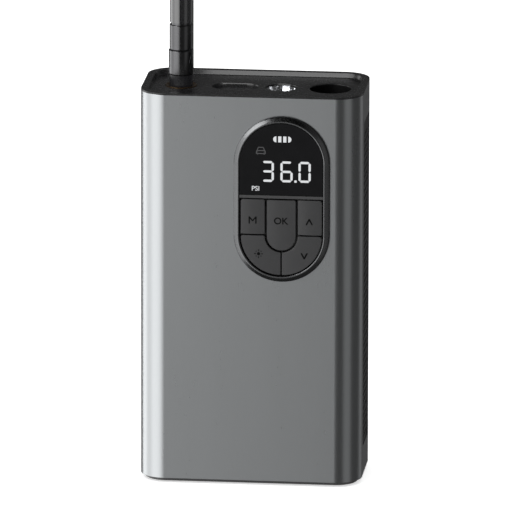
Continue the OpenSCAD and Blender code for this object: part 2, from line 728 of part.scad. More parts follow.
housing();
top_cap();
base_cap();
base_screws();
foot_pad();
side_grille_left();
side_grille_right();
panel_bezel();
panel_frame();
display_window();
display_module();
control_board();
tact_switches();
button_mode();
button_ok();
button_up();
button_light();
button_down();
torch_reflector();
torch_lens();
torch_led();
usb_shell();
usb_tongue();
outlet_ring();
outlet_socket();
outlet_o_ring();
hose_neck();
hose_collar();
hose_ferrule();
air_hose();
chuck_body();
chuck_nut();
chuck_seal();
chuck_pin();
storage_sleeve();
gear_frame();
cylinder_barrel();
cylinder_head();
head_screws();
delivery_tube();
pressure_sensor();
motor_can();
motor_end_cap();
motor_shaft();
motor_pinion();
cooling_fan();
crank_gear();
crank_pin();
gear_axle();
axle_bush();
crank_washer();
yoke();
piston();
piston_ring();
battery_cells();
battery_holder();
battery_strips();
main_board();
board_screws();
wiring();
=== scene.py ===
"""Looks of a pocket cordless tyre inflator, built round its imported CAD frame."""
import math

import bmesh
import bpy
from bpy.props import FloatProperty, FloatVectorProperty, PointerProperty
from mathutils import Matrix, Vector


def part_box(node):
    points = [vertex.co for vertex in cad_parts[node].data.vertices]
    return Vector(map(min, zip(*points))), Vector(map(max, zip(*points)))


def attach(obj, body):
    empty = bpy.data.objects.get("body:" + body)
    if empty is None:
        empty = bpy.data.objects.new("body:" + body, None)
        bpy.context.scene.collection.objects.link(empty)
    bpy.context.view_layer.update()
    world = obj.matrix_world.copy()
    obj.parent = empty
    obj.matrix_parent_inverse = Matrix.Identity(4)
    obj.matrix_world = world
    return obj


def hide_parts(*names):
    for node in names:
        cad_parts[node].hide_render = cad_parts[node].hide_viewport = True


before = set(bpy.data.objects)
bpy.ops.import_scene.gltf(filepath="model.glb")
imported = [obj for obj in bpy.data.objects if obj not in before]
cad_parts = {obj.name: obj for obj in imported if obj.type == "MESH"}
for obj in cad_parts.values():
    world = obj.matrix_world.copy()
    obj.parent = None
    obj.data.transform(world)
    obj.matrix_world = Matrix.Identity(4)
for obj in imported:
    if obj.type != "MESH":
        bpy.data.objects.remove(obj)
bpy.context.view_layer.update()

bl_info = {
    "name": "Tyre Inflator Looks",
    "version": (1, 0, 0),
    "blender": (4, 5, 0),
    "location": "View3D > Sidebar > Inflator",
    "description": "Builds the visible pieces, finishes and studio of a cordless tyre inflator",
    "category": "Object",
}

MM = 0.001

# Carries a shape drawn flat (x right, y up, z towards the viewer) onto the front of the pump
FRONT = Matrix.Rotation(math.radians(90), 4, "X")
# Carries it onto the left side, with y up and z out of the side
LEFT = Matrix.Rotation(math.radians(-90), 4, "Z") @ FRONT

# Places that come from the frame
SHELL_LO, SHELL_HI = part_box("housing")
CAP_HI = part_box("top_cap")[1]
BEZEL_LO, BEZEL_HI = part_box("panel_bezel")
WINDOW_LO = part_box("display_window")[0]
MID_Y = (SHELL_LO.y + SHELL_HI.y) / 2
PANEL_X = (BEZEL_LO.x + BEZEL_HI.x) / 2
PANEL_Z = (BEZEL_LO.z + BEZEL_HI.z) / 2
DECK_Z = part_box("storage_sleeve")[1].z

# What the key light and the reflector cards face
LIT_SPOT = Vector((0, 0, 0.08))

# Where each key's stem meets its switch, x and z in millimetres
SWITCH_SPOTS = {"mode": (1.3, 96.2), "ok": (11.2, 93.2), "up": (21.1, 96.2), "light": (3.6, 82.6),
                "down": (18.8, 82.6)}

# The hose's route: up out of the ferrule, over in one arch, down behind, and a turn onto the floor
HOSE_ROUTE = [(-0.0258, 0.0011, 0.1596), (-0.0258, 0.0011, 0.17), (-0.0258, 0.0011, 0.18),
              (-0.0258, 0.0011, 0.19), (-0.0263, 0.0055, 0.2065), (-0.0275, 0.0175, 0.2186),
              (-0.0292, 0.034, 0.223), (-0.0309, 0.0505, 0.2186), (-0.0321, 0.0625, 0.2065),
              (-0.0326, 0.0669, 0.19), (-0.0326, 0.0669, 0.17), (-0.0326, 0.0669, 0.15),
              (-0.0326, 0.0669, 0.13), (-0.0326, 0.0669, 0.11), (-0.0326, 0.0669, 0.09),
              (-0.0326, 0.0669, 0.07), (-0.0326, 0.0669, 0.055), (-0.0326, 0.0669, 0.0408),
              (-0.03, 0.0669, 0.0278), (-0.0226, 0.0669, 0.0168), (-0.0116, 0.0669, 0.0094),
              (0.0014, 0.0669, 0.0068), (0.004, 0.0669, 0.0068)]


# Reflector cards: azimuth, elevation, width and height in degrees, brightness, and how far away
CARDS = [("front_card", -11.3, -14, 18.4, 60, 0.55), ("left_ramp_a", -15, -12, 8, 66, 1.2),
         ("left_ramp_b", -24, -12, 10, 68, 1.8), ("left_ramp_c", -35, -12, 12, 70, 2.1),
         ("left_strip_a", -54, -10, 26, 70, 2.15), ("left_strip_fill", -80, -10, 28, 70, 1.65),
         ("left_strip_b", -111, -10, 32, 70, 2.3), ("left_top_box", -54, 38, 36, 34, 4.4),
         ("right_strip_a", 54, -10, 32, 70, 0.31), ("right_strip_b", 137, -10, 26, 70, 0.29),
         ("deck_card", -2, 50, 60, 60, 5.5, 1.4)]


def centre_of(node):
    lo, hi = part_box(node)
    return (lo + hi) / 2


def length_property(name, description, default):
    return FloatProperty(name=name, description=description, default=default, unit="LENGTH", precision=5)


def colour_property(name, description, default):
    return FloatVectorProperty(name=name, description=description, default=default, size=3,
                               subtype="COLOR", min=0.0, max=1.0)


class InflatorShell(bpy.types.PropertyGroup):
    corner_radius: length_property("Corner radius", "Outer radius of the sleeve's upright corners", 9.1 * MM)
    wall: length_property("Wall", "Thickness of the aluminium sleeve", 1.5 * MM)
    edge_round: length_property("Edge round", "Rounding of the sleeve's sawn ends", 0.12 * MM)
    rim_width: length_property("Rim width", "Flat rim round the sunken deck", 2.5 * MM)
    plug_depth: length_property("Plug depth", "How far the top cap reaches into the sleeve", 3.9 * MM)
    alloy: colour_property("Alloy", "Colour of the anodised sleeve", (0.394, 0.407, 0.414))
    plastic: colour_property("Plastic", "Colour of the black caps", (0.0085, 0.0085, 0.009))


class InflatorPanel(bpy.types.PropertyGroup):
    key_corner: length_property("Key corner", "Rounding of the keys' outline", 1.1 * MM)
    key_round: length_property("Key edge", "Rounding of the keys' front edge", 0.24 * MM)
    digit_height: length_property("Digit height", "Height of a lit digit", 7.4 * MM)
    digit_width: length_property("Digit width", "Width of a lit digit", 4.25 * MM)
    stroke: length_property("Stroke", "Thickness of a digit's bars", 0.8 * MM)
    legend_height: length_property("Legend height", "Height of the printed letters", 2.3 * MM)
    glow: colour_property("Glow", "Colour of the lit symbols", (0.86, 0.88, 0.90))
    key_colour: colour_property("Keys", "Colour of the rubber keys", (0.031, 0.031, 0.032))


class InflatorHose(bpy.types.PropertyGroup):
    length: length_property("Length", "Length of the hose from ferrule to chuck", 0.34)
    diameter: length_property("Diameter", "Outer diameter of the hose", 7.8 * MM)
    colour: colour_property("Rubber", "Colour of the hose", (0.006, 0.006, 0.007))


class InflatorStudio(bpy.types.PropertyGroup):
    azimuth: FloatProperty(name="Azimuth", description="Camera turned towards the right side",
                           default=math.radians(5.926), subtype="ANGLE")
    elevation: FloatProperty(name="Elevation", description="Camera above the horizon",
                             default=math.radians(14.217), subtype="ANGLE")
    roll: FloatProperty(name="Roll", description="Camera turned about its own line of sight",
                        default=math.radians(0.125), subtype="ANGLE")
    distance: length_property("Distance", "Camera to the pump's middle", 3.87145)
    lens: FloatProperty(name="Lens", description="Focal length in millimetres", default=786.1, min=1.0)
    aim_height: length_property("Aim height", "Height that the camera looks at", 76.87 * MM)
    aim_right: length_property("Aim right", "How far right of the middle the camera looks", 0.28 * MM)
    dim: FloatProperty(name="Dim", description="Brightness of the room in reflections", default=0.085,
                       min=0.0)


# ---- mesh helpers ----

def sheet(width, height, radius, segments=20):
    """Flat face with round corners, centred, facing +Z."""
    bm = bmesh.new()
    bmesh.ops.create_grid(bm, x_segments=1, y_segments=1, size=0.5)
    bmesh.ops.scale(bm, vec=(width, height, 1), verts=bm.verts)
    bmesh.ops.bevel(bm, geom=bm.verts[:], offset=radius, offset_type="OFFSET", segments=segments,
                    profile=0.5, affect="VERTICES", material=-1)
    bmesh.ops.remove_doubles(bm, verts=bm.verts, dist=1e-6)
    return bm


def disc(radius, segments=72):
    bm = bmesh.new()
    bmesh.ops.create_circle(bm, cap_ends=True, segments=segments, radius=radius)
    return bm


def raise_face(bm, depth):
    """Turns a flat sheet into a solid as high as depth. Returns its top and bottom faces."""
    bottom = bm.faces[:][0]
    made = bmesh.ops.extrude_face_region(bm, geom=[bottom])["geom"]
    top = next(g for g in made if isinstance(g, bmesh.types.BMFace))
    bmesh.ops.translate(bm, vec=(0, 0, depth), verts=top.verts)
    bmesh.ops.recalc_face_normals(bm, faces=bm.faces)
    return top, bottom


def step(bm, face, inward, outward):
    """One step of a stepped section: the face's edge goes inward, and out along its normal."""
    bmesh.ops.inset_region(bm, faces=[face], thickness=inward, depth=outward,
                           use_boundary=True, use_even_offset=True)


def shift(bm, x=0.0, y=0.0, z=0.0):
    bmesh.ops.translate(bm, vec=(x, y, z), verts=bm.verts)
    return bm


def turn(bm, matrix):
    bmesh.ops.transform(bm, matrix=matrix, verts=bm.verts)
    return bm


def block(bm, depth):
    """Solid of a flat outline, standing on it."""
    raise_face(bm, depth)
    return bm


def box_between(lo, hi):
    bm = bmesh.new()
    bmesh.ops.create_cube(bm, size=1.0)
    size = Vector(hi) - Vector(lo)
    bmesh.ops.scale(bm, vec=size, verts=bm.verts)
    return shift(bm, *((Vector(lo) + Vector(hi)) / 2))


def lathe(section, x, y, steps=72):
    """Ring or solid turned about the upright line at x, y, from a closed loop of (radius, height)."""
    bm = bmesh.new()
    verts = [bm.verts.new((x + r, y, z)) for r, z in section]
    edges = [bm.edges.new((a, b)) for a, b in zip(verts, verts[1:] + verts[:1])]
    bmesh.ops.spin(bm, geom=verts + edges, cent=(x, y, 0), axis=(0, 0, 1), angle=math.tau,
                   steps=steps, use_merge=True, use_duplicate=False)
    bmesh.ops.remove_doubles(bm, verts=bm.verts, dist=1e-7)
    bmesh.ops.dissolve_degenerate(bm, edges=bm.edges, dist=1e-7)
    bmesh.ops.recalc_face_normals(bm, faces=bm.faces)
    return bm


def loose(bm, name="loose"):
    """A scratch object that holds a shape for a boolean."""
    mesh = bpy.data.meshes.new(name)
    bm.to_mesh(mesh)
    bm.free()
    obj = bpy.data.objects.new(name, mesh)
    bpy.context.scene.collection.objects.link(obj)
    return obj


def carve(bm, cutters=(), added=()):
    """The shape with the added shapes joined to it and the cutters taken out of it."""
    base = loose(bm)
    others = []
    for operation, shapes in (("UNION", added), ("DIFFERENCE", cutters)):
        for shape in shapes:
            other = loose(shape)
            others.append(other)
            modifier = base.modifiers.new("cut", "BOOLEAN")
            modifier.operation = operation
            modifier.solver = "EXACT"
            modifier.object = other
    bpy.context.view_layer.update()
    result = bmesh.new()
    result.from_mesh(base.evaluated_get(bpy.context.evaluated_depsgraph_get()).to_mesh())
    for obj in [base, *others]:
        mesh = obj.data
        bpy.data.objects.remove(obj)
        bpy.data.meshes.remove(mesh)
    bmesh.ops.remove_doubles(result, verts=result.verts, dist=1e-7)
    return result


def merged_copy(node):
    """A copy of a CAD node with its triangles merged into whole faces."""
    bm = bmesh.new()
    bm.from_mesh(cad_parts[node].data)
    bmesh.ops.remove_doubles(bm, verts=bm.verts, dist=2e-7)
    bmesh.ops.dissolve_limit(bm, angle_limit=math.radians(0.6), verts=bm.verts, edges=bm.edges)
    return bm


def sharp_edges(bm, angle=38):
    limit = math.radians(angle)
    return [e for e in bm.edges if len(e.link_faces) == 2 and e.calc_face_angle(0) > limit]


def soften(bm, width, segments=2, edges=None):
    bmesh.ops.bevel(bm, geom=sharp_edges(bm) if edges is None else edges, offset=width,
                    offset_type="OFFSET", segments=segments, profile=0.5, affect="EDGES",
                    material=-1, clamp_overlap=True)
    return bm


def piece(name, bm, material, body, replaced=(), smooth=32):
    """Makes the shape a finished piece that rides on a body."""
    mesh = bpy.data.meshes.new(name)
    for face in bm.faces:
        face.smooth = True
    bm.to_mesh(mesh)
    bm.free()
    mesh.set_sharp_from_angle(angle=math.radians(smooth))
    mesh.materials.append(material)
    obj = bpy.data.objects.new(name, mesh)
    bpy.context.scene.collection.objects.link(obj)
    weighted = obj.modifiers.new("weighted", "WEIGHTED_NORMAL")
    weighted.keep_sharp = True
    weighted.weight = 90
    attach(obj, body)
    if replaced:
        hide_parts(*replaced)
    return obj


def softened_piece(name, node, width, material, body="body", segments=2):
    return piece(name, soften(merged_copy(node), width, segments), material, body, (node,))


def front_outline(node):
    """The outline of a CAD node's front face, drawn flat with x to the right and the old z as y."""
    bm = merged_copy(node)
    front = min(v.co.y for v in bm.verts)
    behind = [f for f in bm.faces if max(v.co.y for v in f.verts) > front + 1e-6]
    bmesh.ops.delete(bm, geom=behind, context="FACES")
    bmesh.ops.dissolve_faces(bm, faces=bm.faces[:], use_verts=False)
    turn(bm, FRONT.inverted())
    for v in bm.verts:
        v.co.z = 0.0
    bm.normal_update()
    if bm.faces[:][0].normal.z < 0:
        bmesh.ops.reverse_faces(bm, faces=bm.faces)
    return bm


def round_corner(bm, vert, radius):
    """Rounds a corner of a flat outline, once no other point is within the rounding's reach."""
    for _ in range(3):
        near = [e.other_vert(vert) for e in vert.link_edges if e.calc_length() < 1.2 * radius]
        bmesh.ops.dissolve_verts(bm, verts=near)
    bmesh.ops.bevel(bm, geom=[vert], offset=radius, offset_type="OFFSET", segments=8, profile=0.5,
                    affect="VERTICES", material=-1)


def round_over(bm, face, radius, segments):
    """Rounds a raised face's edge: a quarter circle of small steps, in and up."""
    turns = [math.radians(90) * i / segments for i in range(segments + 1)]
    for a, b in zip(turns, turns[1:]):
        step(bm, face, radius * (math.cos(a) - math.cos(b)), radius * (math.sin(b) - math.sin(a)))


def paint(material, *nodes):
    """Gives CAD nodes a finish of their own."""
    for node in nodes:
        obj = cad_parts[node]
        if not obj.material_slots:
            obj.data.materials.append(material)
        for held in obj.material_slots:
            held.material = material


def flat_bar(bm, a, b, width, thick):
    """Bar from a to b with pointed ends, drawn flat and raised by thick."""
    a, b = Vector((*a, 0)), Vector((*b, 0))
    along = (b - a).normalized()
    side = Vector((-along.y, along.x, 0)) * width / 2
    nose = along * width / 2
    corners = [a, a + nose - side, b - nose - side, b, b - nose + side, a + nose + side]
    face = bm.faces.new([bm.verts.new(c) for c in corners])
    made = bmesh.ops.extrude_face_region(bm, geom=[face])["geom"]
    raised = [g for g in made if isinstance(g, bmesh.types.BMVert)]
    bmesh.ops.translate(bm, vec=(0, 0, thick), verts=raised)


def flat_path(bm, points, width, thick, closed=False):
    ends = points[1:] + points[:1] if closed else points[1:]
    for a, b in zip(points, ends):
        way = (Vector(b) - Vector(a)).normalized() * width * 0.4
        flat_bar(bm, Vector(a) - way, Vector(b) + way, width, thick)


def joined(bm, other):
    """Adds another shape to a shape."""
    mesh = bpy.data.meshes.new("joined")
    other.to_mesh(mesh)
    other.free()
    bm.from_mesh(mesh)
    bpy.data.meshes.remove(mesh)
    return bm


# How much of the font's size a capital letter fills
CAPITAL_SHARE = 0.69


def lettering(text, height, thick, bold=0.008):
    """Plain letters, centred on the origin, as a closed mesh."""
    curve = bpy.data.curves.new("letters", "FONT")
    curve.body = text
    curve.align_x = "CENTER"
    curve.align_y = "CENTER"
    curve.size = height / CAPITAL_SHARE
    curve.extrude = thick / 2
    curve.offset = bold * height
    obj = bpy.data.objects.new("letters", curve)
    bpy.context.scene.collection.objects.link(obj)
    bpy.context.view_layer.update()
    bm = bmesh.new()
    bm.from_mesh(obj.evaluated_get(bpy.context.evaluated_depsgraph_get()).to_mesh())
    bpy.data.objects.remove(obj)
    bpy.data.curves.remove(curve)
    bmesh.ops.remove_doubles(bm, verts=bm.verts, dist=1e-7)
    xs = [v.co.x for v in bm.verts]
    ys = [v.co.y for v in bm.verts]
    return shift(bm, -(min(xs) + max(xs)) / 2, -(min(ys) + max(ys)) / 2, thick / 2)


# Lit bars of a digit: top, upper right, lower right, bottom, lower left, upper left, middle
DIGIT_BARS = {"3": (1, 1, 1, 1, 0, 0, 1), "6": (1, 0, 1, 1, 1, 1, 1), "0": (1, 1, 1, 1, 1, 1, 0)}


def digit(bm, figure, x, z, width, height, stroke, thick):
    """A seven-bar digit whose lower left corner is at x, z."""
    left, right = x + stroke / 2, x + width - stroke / 2
    low, high = z + stroke / 2, z + height - stroke / 2
    middle = (low + high) / 2
    gap = stroke * 0.12
    bars = (((left, high), (right, high)), ((right, middle), (right, high)),
            ((right, low), (right, middle)), ((left, low), (right, low)),
            ((left, low), (left, middle)), ((left, middle), (left, high)),
            ((left, middle), (right, middle)))
    for lit, (a, b) in zip(DIGIT_BARS[figure], bars):
        if lit:
            way = (Vector(b) - Vector(a)).normalized() * gap
            flat_bar(bm, Vector(a) + way, Vector(b) - way, stroke, thick)


# ---- shader node helpers ----

def set_values(node, values):
    """Sets a node's sockets by name: an underscore in a name stands for a space."""
    for label, value in values.items():
        node.inputs[label.replace("_", " ")].default_value = value
    return node


def add(nodes, kind, **values):
    return set_values(nodes.new("ShaderNode" + kind), values)


def add_group(nodes, group, **values):
    node = nodes.new("ShaderNodeGroup")
    node.node_tree = group
    return set_values(node, values)


def add_maths(nodes, operation, socket=0, value=None):
    node = nodes.new("ShaderNodeMath")
    node.operation = operation
    if value is not None:
        node.inputs[socket].default_value = value
    return node


def wire(links, *joins):
    """Each join is a node and its output, then the next node and its input."""
    for source, out, target, into in joins:
        links.new(source.outputs[out], target.inputs[into])


def new_group(name, inputs, outputs):
    group = bpy.data.node_groups.new(name, "ShaderNodeTree")
    for label, kind, default in inputs:
        socket = group.interface.new_socket(label, in_out="INPUT", socket_type="NodeSocket" + kind)
        if default is not None:
            socket.default_value = default
    for label, kind in outputs:
        group.interface.new_socket(label, in_out="OUTPUT", socket_type="NodeSocket" + kind)
    return group, group.nodes.new("NodeGroupInput"), group.nodes.new("NodeGroupOutput")


def grain_group():
    """Fine grain: even noise that shades the colour a little, and drives roughness and height."""
    group = bpy.data.node_groups.get("surface_grain")
    if group:
        return group
    group, given, out = new_group(
        "surface_grain",
        [("Vector", "Vector", None), ("Color", "Color", (0.5, 0.5, 0.5, 1)), ("Scale", "Float", 900.0),
         ("Tint", "Float", 0.06), ("Rough Low", "Float", 0.3), ("Rough High", "Float", 0.4)],
        [("Color", "Color"), ("Roughness", "Float"), ("Height", "Float")])
    nodes = group.nodes
    noise_low, noise_high = 0.3, 0.7
    fine = add(nodes, "TexNoise", Detail=4.0)
    broad = add(nodes, "TexNoise", Detail=3.0)
    broad_scale = add_maths(nodes, "MULTIPLY", 1, 0.06)
    blend = add(nodes, "Mix", Factor=0.45)
    rough = add(nodes, "MapRange", From_Min=noise_low, From_Max=noise_high)
    shade = add(nodes, "MapRange", From_Min=noise_low, From_Max=noise_high)
    low = add_maths(nodes, "SUBTRACT", 0, 1.0)
    high = add_maths(nodes, "ADD", 0, 1.0)
    dark = add(nodes, "HueSaturation")
    wire(group.links,
         (given, "Vector", fine, "Vector"), (given, "Vector", broad, "Vector"),
         (given, "Scale", fine, "Scale"), (given, "Scale", broad_scale, 0),
         (broad_scale, 0, broad, "Scale"), (fine, "Fac", blend, "A"), (broad, "Fac", blend, "B"),
         (blend, "Result", rough, "Value"), (given, "Rough Low", rough, "To Min"),
         (given, "Rough High", rough, "To Max"), (blend, "Result", shade, "Value"),
         (given, "Tint", low, 1), (given, "Tint", high, 1), (low, 0, shade, "To Min"),
         (high, 0, shade, "To Max"), (shade, "Result", dark, "Value"), (given, "Color", dark, "Color"),
         (dark, "Color", out, "Color"), (rough, "Result", out, "Roughness"), (fine, "Fac", out, "Height"))
    return group


def speck_group():
    """Sparse pale specks of dust laid over a colour."""
    group = bpy.data.node_groups.get("dust_specks")
    if group:
        return group
    group, given, out = new_group(
        "dust_specks",
        [("Vector", "Vector", None), ("Color", "Color", (0.5, 0.5, 0.5, 1)),
         ("Dust", "Color", (0.35, 0.35, 0.36, 1)), ("Amount", "Float", 0.3), ("Scale", "Float", 700.0)],
        [("Color", "Color"), ("Mask", "Float")])
    nodes = group.nodes
    cells = add(nodes, "TexVoronoi", Randomness=1.0)
    patch = add(nodes, "TexNoise", Scale=60.0)
    near = add(nodes, "MapRange", From_Min=0.05, From_Max=0.13, To_Min=1.0, To_Max=0.0)
    where = add(nodes, "MapRange", From_Min=0.5, From_Max=0.7)
    both = add_maths(nodes, "MULTIPLY")
    mask = add_maths(nodes, "MULTIPLY")
    mix = nodes.new("ShaderNodeMix")
    mix.data_type = "RGBA"
    wire(group.links,
         (given, "Vector", cells, "Vector"), (given, "Vector", patch, "Vector"),
         (given, "Scale", cells, "Scale"), (cells, "Distance", near, "Value"),
         (patch, "Fac", where, "Value"), (near, "Result", both, 0), (where, "Result", both, 1),
         (both, 0, mask, 0), (given, "Amount", mask, 1), (mask, 0, mix, "Factor"),
         (given, "Color", mix, MIX_A), (given, "Dust", mix, MIX_B), (mix, MIX_RESULT, out, "Color"),
         (mask, 0, out, "Mask"))
    return group


# ---- finishes of this pump ----

# The colour sockets of a mix node, which share their names with the others
MIX_A, MIX_B, MIX_RESULT = 6, 7, 2

# Materials made so far, by name: the frame has some of its own under the same names
MADE = {}

# Each has its colour, metallic, roughness range, grain scale and grain depth, then what is unlike
# the usual. A colour of two names is read from the scene's settings.
FINISHES = {
    "anodised_alloy": (("inflator_shell", "alloy"), 1.0, (0.27, 0.31), 2600.0, 0.0000006,
                       dict(stretch=(1, 1, 0.12), tint=0.015)),
    "cap_plastic": (("inflator_shell", "plastic"), 0.0, (0.24, 0.30), 3200.0, 0.000003,
                    dict(tint=0.1, dust=0.1, Specular_IOR_Level=0.38)),
    "key_rubber": (("inflator_panel", "key_colour"), 0.0, (0.42, 0.5), 4200.0, 0.000006,
                   dict(tint=0.08, dust=0.05, Specular_IOR_Level=0.35)),
    "hose_rubber": (("inflator_hose", "colour"), 0.0, (0.13, 0.18), 1800.0, 0.000002,
                    dict(stretch=(1, 1, 0.3), tint=0.15, dust=0.05, Specular_IOR_Level=0.65, IOR=1.9)),
    "bezel_metal": ((0.135, 0.137, 0.14), 1.0, (0.24, 0.30), 2400.0, 0.000003, dict(tint=0.08)),
    "display_glass": ((0.0045, 0.0045, 0.005), 0.0, (0.16, 0.22), 240.0, 0.0,
                      dict(tint=0.2, Specular_IOR_Level=0.12)),
    "unlit_symbol": ((0.04, 0.04, 0.042), 0.0, (0.5, 0.6), 1500.0, 0.0,
                     dict(tint=0.1, Emission_Color=(0.5, 0.5, 0.5, 1), Emission_Strength=0.09,
                          Specular_IOR_Level=0.0)),
    "legend_ink": ((0.003, 0.003, 0.003), 0.0, (0.45, 0.55), 2000.0, 0.0,
                   dict(tint=0.2, Specular_IOR_Level=0.05)),
    "tray_plastic": ((0.034, 0.034, 0.035), 0.0, (0.35, 0.42), 3000.0, 0.000004, dict(tint=0.1)),
    "fitting_metal": ((0.11, 0.11, 0.113), 1.0, (0.22, 0.28), 2600.0, 0.000002,
                      dict(stretch=(0.3, 0.3, 1.5), tint=0.08)),
    "neck_plastic": ((0.012, 0.012, 0.014), 0.0, (0.25, 0.32), 2600.0, 0.000002, dict(tint=0.1)),
    "bright_steel": ((0.62, 0.62, 0.63), 1.0, (0.18, 0.28), 1500.0, 0.000002, dict(tint=0.05)),
    "mirror_coat": ((0.9, 0.9, 0.91), 1.0, (0.03, 0.06), 400.0, 0.0, dict(tint=0.02)),
    "clear_lens": ((0.97, 0.98, 1.0), 0.0, (0.02, 0.05), 500.0, 0.0,
                   dict(tint=0.01, Transmission_Weight=1.0, IOR=1.3)),
    "diode_phosphor": ((0.85, 0.72, 0.28), 0.0, (0.35, 0.5), 1800.0, 0.00001, dict(tint=0.1)),
    "pad_rubber": ((0.012, 0.012, 0.012), 0.0, (0.7, 0.85), 2400.0, 0.00002, dict(tint=0.2, dust=0.2)),
    "base_plastic": ((0.05, 0.05, 0.051), 0.0, (0.34, 0.42), 3000.0, 0.000005,
                     dict(tint=0.08, dust=0.15)),
    "grille_paint": ((0.022, 0.022, 0.023), 0.6, (0.38, 0.46), 2800.0, 0.000004,
                     dict(tint=0.1, dust=0.1)),
    # painted shade: the bore's black plastic is made darker and less glossy than the cap's plastic, so the
    # deep hole reads black
    "storage_black": ((0.0012, 0.0012, 0.0012), 0.0, (0.5, 0.65), 2600.0, 0.000004,
                      dict(tint=0.15, dust=0.02, Specular_IOR_Level=0.15)),
    "ring_bronze": ((0.16, 0.105, 0.055), 1.0, (0.22, 0.34), 1400.0, 0.000003, dict(tint=0.15)),
    "turned_brass": ((0.55, 0.38, 0.15), 1.0, (0.22, 0.32), 1600.0, 0.000003, dict(tint=0.1)),
    "cast_alloy": ((0.42, 0.43, 0.45), 1.0, (0.42, 0.62), 900.0, 0.00003, dict(tint=0.12)),
    "frame_steel": ((0.33, 0.34, 0.36), 1.0, (0.3, 0.45), 1300.0, 0.000005,
                    dict(stretch=(1, 1, 0.2), tint=0.08)),
    "white_moulding": ((0.68, 0.67, 0.63), 0.0, (0.4, 0.55), 2200.0, 0.000006, dict(tint=0.04)),
    "silicone_tube": ((0.60, 0.60, 0.56), 0.0, (0.3, 0.4), 1500.0, 0.0,
                      dict(tint=0.04, Subsurface_Weight=0.2)),
    "wire_red": ((0.42, 0.02, 0.015), 0.0, (0.35, 0.45), 1800.0, 0.0, dict(tint=0.1)),
    "floor_paper": ((0.86, 0.86, 0.86), 0.0, (0.8, 0.9), 300.0, 0.0,
                    dict(tint=0.01, Specular_IOR_Level=0.0, Emission_Color=(1, 1, 1, 1),
                         Emission_Strength=0.5)),
}


def start_material(name):
    material = bpy.data.materials.new("pump_" + name)
    MADE[name] = material
    material.use_nodes = True
    tree = material.node_tree
    return material, tree.nodes, tree.links, tree.nodes["Principled BSDF"]


def finish(name, colour, metallic, rough, grain, depth, stretch=(1, 1, 1), tint=0.06, dust=0.0, **sockets):
    """A procedural finish: grain in the colour, the roughness and the surface, and dust if asked for."""
    material, nodes, links, shader = start_material(name)
    place = add(nodes, "TexCoord")
    mapping = add(nodes, "Mapping", Scale=stretch)
    grained = add_group(nodes, grain_group(), Color=(*colour, 1), Scale=grain, Tint=tint,
                        Rough_Low=rough[0], Rough_High=rough[1])
    coloured = grained
    if dust:
        coloured = add_group(nodes, speck_group(), Amount=dust)
        wire(links, (place, "Object", coloured, "Vector"), (grained, "Color", coloured, "Color"))
    wire(links, (place, "Object", mapping, "Vector"), (mapping, "Vector", grained, "Vector"),
         (coloured, "Color", shader, "Base Color"), (grained, "Roughness", shader, "Roughness"))
    if depth:
        bump = add(nodes, "Bump", Distance=depth)
        wire(links, (grained, "Height", bump, "Height"), (bump, "Normal", shader, "Normal"))
    set_values(shader, {"Metallic": metallic, **sockets})
    return material


def look(name):
    """The finish of that name, made when it is first asked for."""
    if name in MADE:
        return MADE[name]
    colour, metallic, rough, grain, depth, rest = FINISHES[name]
    if isinstance(colour[0], str):
        settings, label = colour
        colour = tuple(getattr(getattr(bpy.context.scene, settings), label))
    return finish(name, colour, metallic, rough, grain, depth, **rest)


def lit_symbol():
    glow = tuple(bpy.context.scene.inflator_panel.glow)
    return finish("lit_symbol", (0.05, 0.05, 0.05), 0.0, (0.5, 0.6), 1500.0, 0.0, tint=0.05,
                  Emission_Color=(*glow, 1), Emission_Strength=0.77, Specular_IOR_Level=0.0)


def circuit_board():
    """Green circuit board: solder mask over copper tracks, with tinned pads."""
    material, nodes, links, shader = start_material("circuit_board")
    place = add(nodes, "TexCoord")
    swing = add(nodes, "Mapping", Rotation=(math.radians(90), 0, 0))
    tracks = add(nodes, "TexBrick", Scale=260.0, Mortar_Size=0.035, Color1=(0.006, 0.075, 0.032, 1),
                 Color2=(0.008, 0.095, 0.040, 1), Mortar=(0.020, 0.200, 0.075, 1))
    pads = add(nodes, "TexVoronoi", Scale=420.0, Randomness=0.35)
    spot = add(nodes, "MapRange", From_Min=0.16, From_Max=0.19, To_Min=1.0, To_Max=0.0)
    mix = nodes.new("ShaderNodeMix")
    mix.data_type = "RGBA"
    mix.inputs[MIX_B].default_value = (0.60, 0.58, 0.52, 1)
    grained = add_group(nodes, grain_group(), Scale=1800.0, Tint=0.08, Rough_Low=0.25, Rough_High=0.4)
    bump = add(nodes, "Bump", Distance=0.00003)
    wire(links,
         (place, "Object", swing, "Vector"), (swing, "Vector", tracks, "Vector"),
         (place, "Object", pads, "Vector"), (pads, "Distance", spot, "Value"),
         (spot, "Result", mix, "Factor"), (tracks, "Color", mix, MIX_A),
         (place, "Object", grained, "Vector"), (mix, MIX_RESULT, grained, "Color"),
         (grained, "Color", shader, "Base Color"), (grained, "Roughness", shader, "Roughness"),
         (tracks, "Fac", bump, "Height"), (bump, "Normal", shader, "Normal"))
    return material


